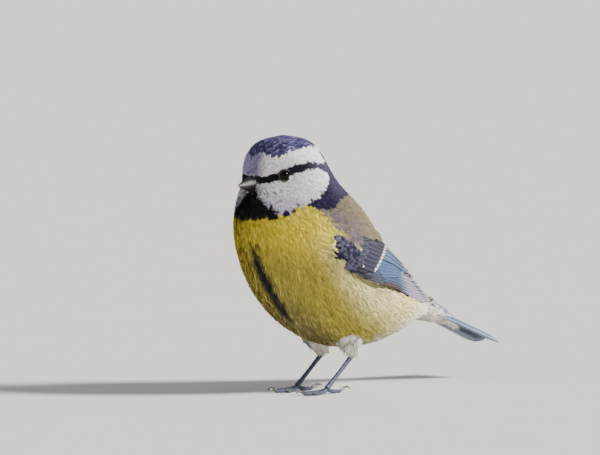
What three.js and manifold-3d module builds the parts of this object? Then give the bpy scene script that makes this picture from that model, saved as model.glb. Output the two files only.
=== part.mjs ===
// A blue tit (Cyanistes caeruleus) at life size, standing on both feet with its head turned to its right.
// Millimetres. The bird faces -Y, its left side is +X and the floor is z = 0. The origin is on the floor,
// under the middle of the bird.
import * as THREE from "three";
import { mergeVertices } from "three/addons/utils/BufferGeometryUtils.js";
import Module from "manifold-3d";

const wasm = await Module();
wasm.setup();

// Driving dimensions
const GAP = 0.3; // left between two pieces that touch
const BOX_CENTRE_Y = 26.7; // the middle of the bird's length, measured from its feet
const BODY_SIDES = 28;
const BODY_RINGS = 34;
const HEAD_YAW = 16; // degrees, the turn of the head to the bird's right
const NECK_Y = -9; // the upright line that the head turns about
const FACE_SPREAD = 0.45; // radians, how wide the flat of the face reaches round the bill

// Sections of the body from crown to tail coverts: the front point (y, z), the back point (y, z), half the
// width, the share of the head's turn, how far the face comes forward to the bill, and how egg-shaped it is.
const BODY_SECTIONS = [
  [-13.0, 85.0, -12.8, 85.0, 0.2, 1, 0, 0],
  [-20.2, 83.0, -5.4, 83.6, 8.0, 1, 0, 0],
  [-24.5, 79.3, -1.2, 80.2, 11.6, 1, -0.3, -0.04],
  [-26.5, 74.6, 1.2, 76.2, 13.3, 1, -1.2, -0.08],
  [-27.5, 69.5, 4.2, 71.4, 14.0, 1, -3.5, -0.1],
  [-29.2, 64.8, 8.0, 67.2, 14.8, 0.95, -2.6, -0.08],
  [-29.9, 60.2, 12.6, 63.2, 15.9, 0.7, -0.8, -0.04],
  [-30.0, 54.8, 18.0, 58.4, 17.8, 0.3, 0, 0.02],
  [-28.6, 48.2, 23.0, 52.8, 19.2, 0.1, 0, 0.06],
  [-25.2, 40.4, 27.4, 46.8, 20.0, 0, 0, 0.08],
  [-19.4, 31.8, 32.0, 40.6, 20.0, 0, 0, 0.1],
  [-10.0, 22.8, 36.6, 35.6, 19.0, 0, 0, 0.1],
  [2.5, 16.4, 41.4, 32.2, 16.6, 0, 0, 0.1],
  [15.5, 14.4, 45.6, 30.0, 13.2, 0, 0, 0.1],
  [28.5, 17.2, 49.4, 28.6, 9.4, 0, 0, 0.05],
  [40.0, 21.2, 53.5, 27.4, 6.0, 0, 0, 0],
  [52.5, 20.6, 59.5, 24.4, 4.2, 0, 0, 0],
  [64.0, 18.4, 65.5, 20.2, 2.2, 0, 0, 0],
  [67.5, 17.6, 67.6, 17.8, 0.2, 0, 0, 0],
];

// Planes that part the body: a point (y, z) on the plane, and its slope back from level in degrees.
const HEAD_CUT = { y: -9, z: 61.6, slope: 5 };
const NECK_CUT = { y: -6, z: 56.4, slope: 5 };
const TAIL_CUT = { y: 44, z: 26, slope: -112 };

// Bill
const BILL_REACH = 20.8; // from the head's turning line to the tip
const BILL_ROOT = 11.8; // from the turning line to the hidden root
const BILL_Z = 70.0; // the height of the mouth line at the root
const BILL_PITCH = 6; // degrees down
const UPPER_BILL = { width: 4.8, depth: 2.9, short: 0 };
const LOWER_BILL = { width: 4.4, depth: 2.3, short: 0.4 };
const BILL_TAPER = { start: 1.7, end: 0.9, tip: 0.03 };
const BILL_SIDES = 9;
const BILL_RINGS = 8;
const NOSTRIL = { along: 0.42, side: 1.25, up: 1.15, radius: 0.35 };

// Eyes, in the head's own frame: forward of the turning line, out to the side, and up
const EYE_RADIUS = 2.0;
const EYE_GAP = 0.25;
const EYE = { forward: 8.9, side: 9.9, z: 72.5 };
const LID = { radius: 2.05, thick: 0.36, lift: 1.15, forward: 0.22, up: 0.1 };

// Folded wing: its lower and upper edges from the bend to the tip, for the left side
const WING_LOWER = [
  [19.0, -9.0, 45.6],
  [19.4, -1.0, 40.6],
  [19.0, 8.8, 37.0],
  [16.0, 19.8, 34.4],
  [11.9, 29.9, 31.4],
  [8.5, 39.2, 28.5],
  [5.2, 48.2, 27.0],
];
const WING_UPPER = [
  [18.3, -8.6, 52.0],
  [17.4, 0.2, 53.6],
  [14.5, 10.9, 51.4],
  [8.5, 23.9, 46.4],
  [5.1, 33.9, 40.4],
  [3.8, 42.3, 34.2],
  [2.7, 49.8, 28.9],
];
const WING_BULGE = 1.8;
const WING_OUT = [0.82, -0.1, 0.5]; // the way that the folded wing bulges
const WING_CORE = { thick: 0.8, end: 0.62, front: 0.2, rise: 0.15 };
const WING_ROOM = { from: -0.01, to: 1.02, high: 6, spare: 0.03 }; // what the wing leaves free in the torso

// Feathers: stations from root to tip, each with its share of the width
const LONG_VANE = [[0, 0.8], [0.5, 1], [0.87, 0.75], [1, 0.14]];
const SHORT_VANE = [[0, 0.9], [0.72, 0.95], [1, 0.2]];
const TAIL_VANE = [[0, 0.8], [0.5, 1], [0.95, 0.9], [1, 0.45]];
const VANE_THICK = { root: 0.6, tip: 0.4 };
const VANE_TILT = 0.7; // how far a feather's lower edge stands over its upper edge
const VANE_BEND = 1.5; // how late along its length a feather swings from its root's place to its tip's
const VANE_OUTER = 0.42; // the share of the width on the lower side of the shaft

// Wing feathers by group, from the lowest on the folded wing to the highest. Root and tip give the places
// (u, v) on the wing's sheet for feather k, and heights are over the sheet at root and tip.
const WING_FEATHERS = [
  {
    name: "primaries", count: 7, width: 2.6, heights: [1.0, 1.0], stations: LONG_VANE,
    root: (k) => [0.42, 0.36 - 0.055 * k],
    tip: (k) => [0.755 + 0.245 * (1 - (1 - k / 6) ** 1.5), 0.96 - 0.125 * k],
  },
  {
    name: "secondaries", count: 5, width: 2.8, heights: [1.1, 1.25], stations: LONG_VANE,
    root: (k) => [0.31, 0.2 + 0.085 * k],
    tip: (k) => [0.64 + 0.024 * k, 0.5 + 0.09 * k],
  },
  {
    name: "tertials", count: 3, width: 4, heights: [1.35, 1.6], stations: LONG_VANE,
    root: (k) => [0.32, 0.62 + 0.14 * k],
    tip: (k) => [0.72 - 0.06 * k, 0.83 + 0.07 * k],
  },
  {
    name: "primary coverts", count: 3, width: 1.8, heights: [1.1, 1.5], stations: SHORT_VANE,
    root: (k) => [0.26, 0.05 + 0.07 * k],
    tip: (k) => [0.4 - 0.015 * k, 0.05 + 0.07 * k],
  },
  {
    name: "alula", count: 3, width: 2, heights: [1.0, 1.6], stations: SHORT_VANE,
    root: (k) => [0.08, 0.1 + 0.07 * k],
    tip: (k) => [0.3 - 0.035 * k, 0.07 + 0.07 * k],
  },
  {
    name: "greater coverts", count: 8, width: 2.6, heights: [1.3, 1.9], stations: SHORT_VANE,
    root: (k) => [0.2 + 0.016 * k, 0.26 + 0.1 * k],
    tip: (k) => [0.335 + 0.0215 * k, 0.27 + 0.1 * k],
  },
  {
    name: "median coverts", count: 6, width: 3, heights: [1.0, 2.0], stations: SHORT_VANE,
    root: (k) => [0.06 + 0.012 * k, 0.26 + 0.125 * k],
    tip: (k) => [0.21 + 0.022 * k, 0.34 + 0.12 * k],
  },
];

// Tail: its root, slope and feathers, with the lengths from the middle pair to the outer one
const TAIL_ROOT = { y: 45.0, z: 28.4 };
const TAIL_SLOPE = 22;
const TAIL_LENGTHS = [40.2, 40.7, 41, 41, 40.7, 40.2];
const TAIL_FEATHER = { width: 6.0, thick: 0.5, first: 1.3, spread: 0.8, drop: 0.34, tilt: 0.26, pinch: 0.5 };
const TAIL_LEFT_LIFT = 0.18; // the left feather of a pair lies over the right one

// Legs: the left one
const LEG_X = 7.0;
const ANKLE = { y: 11.6, z: 12.3 };
const FOOT = { y: -0.6, z: 1.7, knuckle: 1.25 };
const THIGH = { out: 1.5, forward: 4.5, up: 9, low: 0.6, radii: [5.2, 3.9, 1.5] };
const TARSUS = { stations: [0, 0.2, 0.5, 0.8, 0.97], radii: [1.09, 0.76, 0.71, 0.76, 0.98] };
const TOE = { radius: 0.675, swell: 1.08, waist: 0.88, root: 1.05, taper: 0.25, lie: 0.82, arch: 0.6 };
const CLAW = { root: 0.52, tip: 0.08, z: 0.62, curve: 0.24, drop: 0.42, reach: 0.86, turn: 0.8 };

// Toes by heading from straight ahead in degrees, length, claw length and number of joints
const TOES = [
  { name: "inner", heading: 24, length: 7.2, claw: 3.6, joints: 2 },
  { name: "middle", heading: 2, length: 9.8, claw: 4.2, joints: 3 },
  { name: "outer", heading: -17, length: 7.6, claw: 3.6, joints: 4 },
  { name: "hind", heading: 178, length: 6.6, claw: 5.4, joints: 1 },
];

// Looks of the parts
const look = (color, roughness) => new THREE.MeshStandardMaterial({ color, roughness, metalness: 0 });
const CROWN_BLUE = look(0x6a74b0, 0.7);
const BREAST_YELLOW = look(0xbfae4a, 0.85);
const LEG_WHITE = look(0xcfc7b0, 0.85);
const LEG_SLATE = look(0x4a5468, 0.55);
const WING_BLUE = look(0x5b7fa8, 0.6);
const HORN = look(0x5a5450, 0.4);
const EYE_BLACK = look(0x120c08, 0.08);

// Numbers and curves
const radians = THREE.MathUtils.degToRad;
const mix = THREE.MathUtils.lerp;
const vec = (x, y, z) => new THREE.Vector3(x, y, z);
const upto = (count) => Array.from({ length: count }, (_, k) => k);

// A smooth curve through rows of numbers, read at t from 0 to 1.
function through(rows, t) {
  const last = rows.length - 1;
  const place = t * last;
  const i = Math.min(Math.max(Math.floor(place), 0), last - 1);
  const f = place - i;
  const row = (k) => rows[Math.min(Math.max(k, 0), last)];
  return rows[i].map((_, n) => {
    const [a, b, c, d] = [row(i - 1)[n], row(i)[n], row(i + 1)[n], row(i + 2)[n]];
    return b + 0.5 * f * (c - a + f * (2 * a - 5 * b + 4 * c - d + f * (3 * (b - c) + d - a)));
  });
}

// Solids

// A geometry as a solid, turned to face outwards.
function solidOf(geometry) {
  const bare = geometry.clone();
  bare.deleteAttribute("normal");
  bare.deleteAttribute("uv");
  const merged = mergeVertices(bare, 1e-4);
  const vertProperties = merged.attributes.position.array;
  const triVerts = new Uint32Array(merged.index.array);
  const make = () => new wasm.Manifold(new wasm.Mesh({ numProp: 3, vertProperties, triVerts }));
  const made = make();
  if (made.volume() > 0) return made;
  triVerts.reverse();
  return make();
}

// A closed solid over rings of points that all have the same count, with a flat fan at each end.
function loft(rings) {
  const sides = rings[0].length;
  const middle = (ring) => ring.reduce((sum, p) => sum.add(p), vec(0, 0, 0)).divideScalar(sides);
  const points = [...rings.flat(), middle(rings[0]), middle(rings.at(-1))];
  const end = (rings.length - 1) * sides;
  const faces = [];
  for (const s of upto(sides)) {
    const next = (s + 1) % sides;
    for (let a = 0; a < end; a += sides) {
      faces.push(a + s, a + next, a + s + sides);
      faces.push(a + next, a + next + sides, a + s + sides);
    }
    faces.push(points.length - 2, next, s);
    faces.push(points.length - 1, end + s, end + next);
  }
  return solidOf(new THREE.BufferGeometry().setFromPoints(points).setIndex(faces));
}

// A thin leaf over rows of points: both faces split alike, closed round the rim.
function leaf(tops, bottoms) {
  const wide = tops[0].length;
  const last = tops.length - 1;
  const under = tops.length * wide;
  const faces = [];
  for (const r of upto(last))
    for (const c of upto(wide - 1)) {
      const [a, b] = [r * wide + c, r * wide + c + 1];
      const [d, e] = [a + wide, b + wide];
      faces.push(a, b, d, b, e, d);
      faces.push(a + under, d + under, b + under, b + under, d + under, e + under);
    }
  const rim = upto(wide);
  for (let r = 1; r <= last; r++) rim.push(r * wide + wide - 1);
  for (let c = wide - 2; c >= 0; c--) rim.push(last * wide + c);
  for (let r = last - 1; r > 0; r--) rim.push(r * wide);
  rim.forEach((p, k) => {
    const q = rim[(k + 1) % rim.length];
    faces.push(q, p, p + under, q, p + under, q + under);
  });
  const points = [...tops.flat(), ...bottoms.flat()];
  return solidOf(new THREE.BufferGeometry().setFromPoints(points).setIndex(faces));
}

// A round tube through points, with a radius at each.
function tube(points, radii, sides, steps = points.length - 1) {
  const curve = new THREE.CatmullRomCurve3(points);
  const level = vec(0, 0, 1);
  const rings = upto(steps + 1).map((r) => {
    const along = curve.getTangent(r / steps);
    const across = vec(0, 0, 0).crossVectors(level, along);
    if (across.lengthSq() < 0.01) across.set(1, 0, 0);
    across.normalize();
    const up = vec(0, 0, 0).crossVectors(along, across).normalize();
    const [radius] = through(radii.map((x) => [x]), r / steps);
    return upto(sides).map((s) => {
      const angle = (s / sides) * 2 * Math.PI;
      const point = curve.getPoint(r / steps).addScaledVector(across, Math.cos(angle) * radius);
      return point.addScaledVector(up, Math.sin(angle) * radius);
    });
  });
  return loft(rings);
}

// The largest closed surface of a solid.
function largest(solid) {
  return solid.decompose().sort((a, b) => b.volume() - a.volume())[0];
}

function joined(solids) {
  return largest(solids.reduce((all, next) => all.add(next)));
}

// The same solid on the bird's right side.
function mirrored(solid) {
  return solid.mirror([1, 0, 0]);
}

// The part of a solid above or below a cutting plane, half the gap away from it.
function parted(solid, { y, z, slope }, side) {
  const up = [0, -Math.sin(radians(slope)) * side, Math.cos(radians(slope)) * side];
  return solid.trimByPlane(up, up[1] * y + up[2] * z + GAP / 2);
}

function meshOf(name, solid, finish) {
  const { numProp, numVert, vertProperties, triVerts } = solid.getMesh();
  const places = new Float32Array(numVert * 3);
  for (const i of upto(numVert)) places.set(vertProperties.subarray(i * numProp, i * numProp + 3), i * 3);
  const geometry = new THREE.BufferGeometry();
  geometry.setAttribute("position", new THREE.BufferAttribute(places, 3));
  geometry.setIndex(new THREE.BufferAttribute(triVerts, 1));
  geometry.computeVertexNormals();
  const mesh = new THREE.Mesh(geometry, finish);
  mesh.name = name;
  return mesh;
}

// Body

// A point of the head given forward of, beside and above its turning line.
function inHead(forward, side, z) {
  return vec(side, -forward, z).applyAxisAngle(vec(0, 0, 1), -radians(HEAD_YAW)).add(vec(0, NECK_Y, 0));
}

function bodyRing(t, grow) {
  const [fy, fz, by, bz, half, turn, face, egg] = through(BODY_SECTIONS, t);
  const reach = Math.hypot(by - fy, bz - fz) / 2;
  const swell = (reach + grow) / reach;
  return upto(BODY_SIDES).map((s) => {
    const angle = (s / BODY_SIDES) * 2 * Math.PI;
    const toBack = Math.cos(angle) * swell;
    const x = (half + grow) * Math.sin(angle) * (1 - egg * Math.cos(angle));
    const bump = face * Math.exp(-(((angle - Math.PI) / FACE_SPREAD) ** 2));
    const y = (fy + by) / 2 + ((by - fy) / 2) * toBack - bump;
    const z = (fz + bz) / 2 + ((bz - fz) / 2) * toBack;
    const point = vec(x, y - NECK_Y, z).applyAxisAngle(vec(0, 0, 1), -radians(HEAD_YAW) * turn);
    return point.add(vec(0, NECK_Y, 0));
  });
}

function bodyForm(grow = 0) {
  return loft(upto(BODY_RINGS + 1).map((r) => bodyRing(r / BODY_RINGS, grow)));
}

// Bill

// One half of the bill, its flat side on the mouth line, pointing to -Y from its root.
function billHalf({ width, depth, short }, upwards, grow = 0) {
  const length = BILL_REACH - BILL_ROOT - short + 2 * grow;
  const rings = upto(BILL_RINGS + 1).map((r) => {
    const t = r / BILL_RINGS;
    const taper = (1 - t ** BILL_TAPER.start) ** BILL_TAPER.end + BILL_TAPER.tip;
    return upto(BILL_SIDES + 1).map((s) => {
      const angle = (s / BILL_SIDES) * Math.PI;
      const x = (Math.cos(angle) * (width + 2 * grow) * taper) / 2;
      const up = Math.sin(angle) * (depth + 2 * grow) * taper + GAP / 2 - grow;
      return vec(x, grow - length * t, up * upwards);
    });
  });
  return loft(rings);
}

function placedBill(solid) {
  const root = inHead(BILL_ROOT, 0, BILL_Z);
  return solid.rotate([BILL_PITCH, 0, 0]).rotate([0, 0, -HEAD_YAW]).translate(root.toArray());
}

function upperBill() {
  const length = BILL_REACH - BILL_ROOT;
  let half = billHalf(UPPER_BILL, 1);
  for (const side of [-1, 1]) {
    const hole = solidOf(new THREE.SphereGeometry(NOSTRIL.radius, 8, 6));
    half = half.subtract(hole.translate([side * NOSTRIL.side, -length * NOSTRIL.along, NOSTRIL.up + GAP / 2]));
  }
  return largest(placedBill(half));
}

// Eyes
function eyeBall(side, grow = 0) {
  const ball = solidOf(new THREE.SphereGeometry(EYE_RADIUS + grow, 16, 12));
  return ball.translate(inHead(EYE.forward, EYE.side * side, EYE.z).toArray());
}

function lidRing(side) {
  const ring = solidOf(new THREE.TorusGeometry(LID.radius, LID.thick, 6, 18));
  const away = vec(side, -LID.forward, LID.up).applyAxisAngle(vec(0, 0, 1), -radians(HEAD_YAW)).normalize();
  const place = inHead(EYE.forward, EYE.side * side, EYE.z).addScaledVector(away, LID.lift);
  const turn = new THREE.Quaternion().setFromUnitVectors(vec(0, 0, 1), away);
  return ring.transform(new THREE.Matrix4().compose(place, turn, vec(1, 1, 1)).elements);
}

function head(body) {
  const billRoom = placedBill(billHalf(UPPER_BILL, 1, GAP).add(billHalf(LOWER_BILL, -1, GAP)));
  let solid = parted(body, HEAD_CUT, 1);
  for (const side of [-1, 1]) solid = solid.add(lidRing(side)).subtract(eyeBall(side, EYE_GAP));
  return largest(solid.subtract(billRoom));
}

// Wing

// A point of the folded wing's sheet, u from bend to tip and v from lower to upper edge.
function wingSheet(u, v) {
  const lower = vec(...through(WING_LOWER, u));
  const upper = vec(...through(WING_UPPER, u));
  const bulge = WING_BULGE * Math.sqrt(Math.max(0, 1 - u)) * 4 * v * (1 - v);
  return lower.lerp(upper, v).addScaledVector(vec(...WING_OUT), bulge);
}

// A point at a height over the sheet.
function wingPoint(u, v, height) {
  const step = 0.01;
  const along = wingSheet(u + step, v).sub(wingSheet(u - step, v));
  const across = wingSheet(u, v + step).sub(wingSheet(u, v - step));
  return wingSheet(u, v).addScaledVector(along.cross(across).normalize(), height);
}

// A slab over the sheet from a low height to a high one that depends on u.
function wingSlab(from, to, low, high, spare = 0) {
  const [columns, strips] = [10, 4];
  const rings = upto(columns + 1).map((c) => {
    const u = mix(from, to, c / columns);
    const across = upto(strips + 1).map((s) => mix(-spare, 1 + spare, s / strips));
    const under = across.map((v) => wingPoint(u, v, low));
    const over = across.map((v) => wingPoint(u, v, high(u)));
    return [...under, ...over.reverse()];
  });
  return loft(rings);
}

function wingFeather({ width, heights, stations }, root, tip) {
  const tops = [];
  const bottoms = [];
  for (const [along, share] of stations) {
    const u = mix(root[0], tip[0], along);
    const v = mix(root[1], tip[1], along ** VANE_BEND);
    const chord = wingSheet(u, 0).distanceTo(wingSheet(u, 1));
    const span = (share * width) / chord;
    const height = mix(heights[0], heights[1], along);
    const thick = mix(VANE_THICK.root, VANE_THICK.tip, along);
    const edges = [
      [Math.max(v - span * VANE_OUTER, 0), height + VANE_TILT / 2],
      [Math.min(v + span * (1 - VANE_OUTER), 1), height - VANE_TILT / 2],
    ];
    tops.push(edges.map(([place, top]) => wingPoint(u, place, top)));
    bottoms.push(edges.map(([place, top]) => wingPoint(u, place, top - thick)));
  }
  return leaf(tops, bottoms);
}

function wing() {
  const { thick, end, front, rise } = WING_CORE;
  const core = wingSlab(0, end, 0, (u) => thick * Math.min(1, front + u / rise));
  const feathers = WING_FEATHERS.flatMap((group) =>
    upto(group.count).map((k) => wingFeather(group, group.root(k), group.tip(k))),
  );
  return joined([core, ...feathers]);
}

function wingRoom() {
  const { from, to, high, spare } = WING_ROOM;
  const left = wingSlab(from, to, -GAP, () => high, spare);
  return left.add(mirrored(left));
}

// Tail

// A point of the tail's own frame, along it, beside its middle and above it.
function inTail(along, side, up) {
  const slope = radians(TAIL_SLOPE);
  const y = TAIL_ROOT.y + along * Math.cos(slope) + up * Math.sin(slope);
  return vec(side, y, TAIL_ROOT.z - along * Math.sin(slope) + up * Math.cos(slope));
}

// One tail feather: pair 0 is the middle one, on top, and side is 1 on the left.
function tailFeather(pair, side) {
  const { width, thick, first, spread, drop, tilt, pinch } = TAIL_FEATHER;
  const height = -drop * pair + (side > 0 ? TAIL_LEFT_LIFT : 0);
  const tops = [];
  const bottoms = [];
  for (const [along, share] of TAIL_VANE) {
    const narrow = mix(pinch, 1, along);
    const middle = (first + spread * pair) * side * narrow;
    const half = (width / 2) * share * narrow * side;
    const edges = [[middle - half, tilt], [middle + half, -tilt]];
    const place = TAIL_LENGTHS[pair] * along;
    tops.push(edges.map(([x, lift]) => inTail(place, x, height + lift)));
    bottoms.push(edges.map(([x, lift]) => inTail(place, x, height + lift - thick)));
  }
  return leaf(tops, bottoms);
}

function tail(body) {
  const feathers = TAIL_LENGTHS.flatMap((_, pair) => [tailFeather(pair, 1), tailFeather(pair, -1)]);
  return joined([parted(body, TAIL_CUT, 1), ...feathers]);
}

// Legs
function thigh() {
  const top = vec(LEG_X + THIGH.out, ANKLE.y - THIGH.forward, ANKLE.z + THIGH.up);
  const low = vec(LEG_X, ANKLE.y, ANKLE.z + THIGH.low);
  const [sides, steps] = [12, 6];
  return tube([top, top.clone().lerp(low, 0.5), low], THIGH.radii, sides, steps);
}

function tarsus() {
  const top = vec(LEG_X, ANKLE.y, ANKLE.z);
  const low = vec(LEG_X, FOOT.y, FOOT.z);
  const sides = 8;
  return tube(TARSUS.stations.map((share) => top.clone().lerp(low, share)), TARSUS.radii, sides);
}

function onToe(heading, along, z) {
  const turn = radians(heading);
  return vec(LEG_X - Math.sin(turn) * along, FOOT.y - Math.cos(turn) * along, z);
}

// A toe swells at each joint and comes down from the foot's knuckle to the floor.
function toe({ heading, length, joints }) {
  const steps = joints * 2 + 2;
  const sides = 8;
  const points = [];
  const radii = [];
  for (const k of upto(steps + 1)) {
    const t = k / steps;
    const arch = FOOT.z * (1 - t) ** 3 * TOE.arch;
    points.push(onToe(heading, length * t, TOE.radius * TOE.lie + arch));
    radii.push(TOE.radius * (TOE.root - TOE.taper * t) * (k % 2 === 0 ? TOE.swell : TOE.waist));
  }
  return tube(points, radii, sides);
}

function claw({ heading, length, claw: reach }) {
  const [steps, sides] = [4, 6];
  const points = [];
  const radii = [];
  for (const k of upto(steps + 1)) {
    const t = k / steps;
    const rise = Math.sin(Math.PI * t * CLAW.turn) * reach * CLAW.curve;
    points.push(onToe(heading, length + GAP + reach * CLAW.reach * t, CLAW.z + rise - CLAW.drop * t * t));
    radii.push(CLAW.root * (1 - t) ** CLAW.turn + CLAW.tip);
  }
  return tube(points, radii, sides);
}

function foot() {
  const knuckle = solidOf(new THREE.SphereGeometry(FOOT.knuckle, 10, 8)).translate([LEG_X, FOOT.y, FOOT.z]);
  return joined([knuckle, ...TOES.map(toe)]).trimByPlane([0, 0, 1], 0);
}

// Assembly
function buildBird() {
  const bird = new THREE.Group();
  const put = (name, solid, finish) => bird.add(meshOf(name, solid, finish));
  const body = bodyForm();

  put("head", head(body), CROWN_BLUE);
  put("bill_upper", upperBill(), HORN);
  put("bill_lower", placedBill(billHalf(LOWER_BILL, -1)), HORN);
  put("eye_left", eyeBall(1), EYE_BLACK);
  put("eye_right", eyeBall(-1), EYE_BLACK);
  put("neck", parted(parted(body, HEAD_CUT, -1), NECK_CUT, 1), CROWN_BLUE);

  const leftWing = wing();
  const room = wingRoom();
  const torso = parted(parted(body, NECK_CUT, -1), TAIL_CUT, -1);
  put("torso", largest(torso.subtract(room)), BREAST_YELLOW);
  put("wing_left", leftWing, WING_BLUE);
  put("wing_right", mirrored(leftWing), WING_BLUE);
  put("tail", largest(tail(body).subtract(room)), WING_BLUE);

  const leftThigh = largest(thigh().subtract(bodyForm(GAP)));
  const leftTarsus = largest(tarsus().subtract(foot()).subtract(leftThigh));
  const sides = { left: (solid) => solid, right: mirrored };
  for (const [side, placed] of Object.entries(sides)) {
    put("thigh_" + side, placed(leftThigh), LEG_WHITE);
    put("tarsus_" + side, placed(leftTarsus), LEG_SLATE);
    put("foot_" + side, placed(foot()), LEG_SLATE);
    for (const data of TOES) put(`claw_${data.name}_${side}`, placed(claw(data)), HORN);
  }
  bird.position.set(0, -BOX_CENTRE_Y, 0);
  return bird;
}

export default buildBird();
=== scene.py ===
"""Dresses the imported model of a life-size, still blue tit, from its skin and plumage to its claws."""

import logging
import math
from collections.abc import Callable
from dataclasses import dataclass, field
from enum import Enum

import bmesh
import bpy
import numpy as np
from mathutils import Matrix, Vector
from mathutils.bvhtree import BVHTree


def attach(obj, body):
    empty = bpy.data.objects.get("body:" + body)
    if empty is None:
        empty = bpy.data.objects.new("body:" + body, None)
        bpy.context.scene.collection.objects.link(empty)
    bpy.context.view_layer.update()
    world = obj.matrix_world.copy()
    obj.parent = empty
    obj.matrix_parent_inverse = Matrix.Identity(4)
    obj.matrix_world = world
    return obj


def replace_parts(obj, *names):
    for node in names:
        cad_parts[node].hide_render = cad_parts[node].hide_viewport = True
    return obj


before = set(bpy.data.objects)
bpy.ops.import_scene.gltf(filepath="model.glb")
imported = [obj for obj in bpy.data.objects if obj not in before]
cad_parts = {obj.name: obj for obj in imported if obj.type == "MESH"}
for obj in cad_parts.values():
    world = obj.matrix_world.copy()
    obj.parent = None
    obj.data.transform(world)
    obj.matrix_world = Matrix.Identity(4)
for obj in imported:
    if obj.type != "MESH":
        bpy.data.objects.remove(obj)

Array = np.ndarray
Place = Callable[[Array, Array], Array]
Paint = Callable[[Array, Array, Array], Array]
Span = tuple[float, float]
Table = tuple[tuple[float, float], ...]
log = logging.getLogger("blue_tit")

MILLIMETRE = 0.001
BODY = "root"
BOX_CENTRE_Y = 26.7
NECK_Y = -9.0
HEAD_YAW = math.radians(16.0)
UNWRAP = "OFBake"
TINT = "tint"
VANE_MAP = "vane"
TURN = 2 * math.pi
STATIONS = 4
PATCH = 0.003


# Numbers and curves


def through(rows: Array, t: Array) -> Array:
    """Reads a smooth curve through rows of numbers.

    Args:
        rows: The rows, evenly spaced from t = 0 to t = 1.
        t: Where to read it.

    Returns:
        One row for each t.
    """
    t = np.atleast_1d(np.asarray(t, float))
    last = len(rows) - 1
    place = t * last
    start = np.clip(np.floor(place).astype(int), 0, last - 1)
    f = (place - start)[:, None]
    a, b = rows[np.clip(start - 1, 0, last)], rows[start]
    c, d = rows[start + 1], rows[np.clip(start + 2, 0, last)]
    return b + 0.5 * f * (c - a + f * (2 * a - 5 * b + 4 * c - d + f * (3 * (b - c) + d - a)))


def ramp(low: float, high: float, x: Array) -> Array:
    """A smooth step from 0 at low to 1 at high."""
    s = np.clip((x - low) / (high - low), 0.0, 1.0)
    return s * s * (3 - 2 * s)


def read(table: tuple[tuple[float, float], ...], x: Array) -> Array:
    """Reads a table of (place, value) pairs at x, straight between them."""
    places, values = zip(*table)
    return np.interp(x, places, values)


def unit(vectors: Array) -> Array:
    """The same directions at length 1."""
    return vectors / np.maximum(np.linalg.norm(vectors, axis=-1, keepdims=True), 1e-9)


def dye(red: int, green: int, blue: int) -> Array:
    """A colour as seen on a screen, 0 to 255, made linear."""
    seen = np.array([red, green, blue]) / 255
    return np.where(seen <= 0.04045, seen / 12.92, ((seen + 0.055) / 1.055) ** 2.4)


def blend_to(colour: Array, other: Array, share: Array) -> Array:
    """Mixes each row of colour towards another by its share."""
    return colour + (other - colour) * np.asarray(share)[..., None]


def dyed(red: int, green: int, blue: int) -> Array:
    """A dataclass's field that holds a dye."""
    return field(default_factory=lambda: dye(red, green, blue))


def coats(colour: Array, like: Array) -> Array:
    """The same colour for each row of like."""
    return np.tile(colour, (len(like), 1))


def bell(x: Array, width: float) -> Array:
    """A smooth bell, 1 where x is 0 and gone at about twice its width."""
    return np.exp(-((x / width) ** 2))


def mirrored(points: Array, side: int) -> Array:
    """Points of the left side, kept for 1 and mirrored to the right for -1."""
    return points * np.array([side, 1, 1])


def side_name(side: int) -> str:
    """What the left, 1, or right, -1, side is called in the names of pieces."""
    return "left" if side > 0 else "right"


def grid_quads(rows: int, columns: int) -> Array:
    """The quads between the points of a grid that is laid out row by row."""
    corner = (np.arange(rows - 1)[:, None] * columns + np.arange(columns - 1)[None]).ravel()
    return np.stack([corner, corner + 1, corner + columns + 1, corner + columns], -1)


def turned(points: Array, share: Array) -> Array:
    """Turns points about the neck's upright line by a share of the head's turn.

    Args:
        points: Points in millimetres.
        share: How much of the turn each takes.

    Returns:
        The turned points.
    """
    angle = -HEAD_YAW * np.asarray(share)
    x, y = points[..., 0], points[..., 1] - NECK_Y
    cos, sin = np.cos(angle), np.sin(angle)
    return np.stack([x * cos - y * sin, x * sin + y * cos + NECK_Y, points[..., 2]], -1)


def in_head(forward: float, side: float, up: float) -> Array:
    """A point of the head, forward of its turning line, to its left and above the floor."""
    return turned(np.array([side, NECK_Y - forward, up]), 1.0)


def in_frame(points: Array) -> Array:
    """Points in millimetres from the feet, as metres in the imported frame."""
    return (points - np.array([0.0, BOX_CENTRE_Y, 0.0])) * MILLIMETRE


def eye_axis(side: int) -> tuple[Array, Array]:
    """The centre of the left, 1, or right, -1, eye and the direction that it looks in.

    Args:
        side: The eye's side.

    Returns:
        Its centre in millimetres and a unit vector.
    """
    centre = in_head(9.05, 10.6 * side, 72.55)
    away = turned(np.array([side, NECK_Y - 0.24, 0.08]), 1.0) - np.array([0, NECK_Y, 0])
    return centre, unit(away)


# Forms that the plumage lies on


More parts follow.
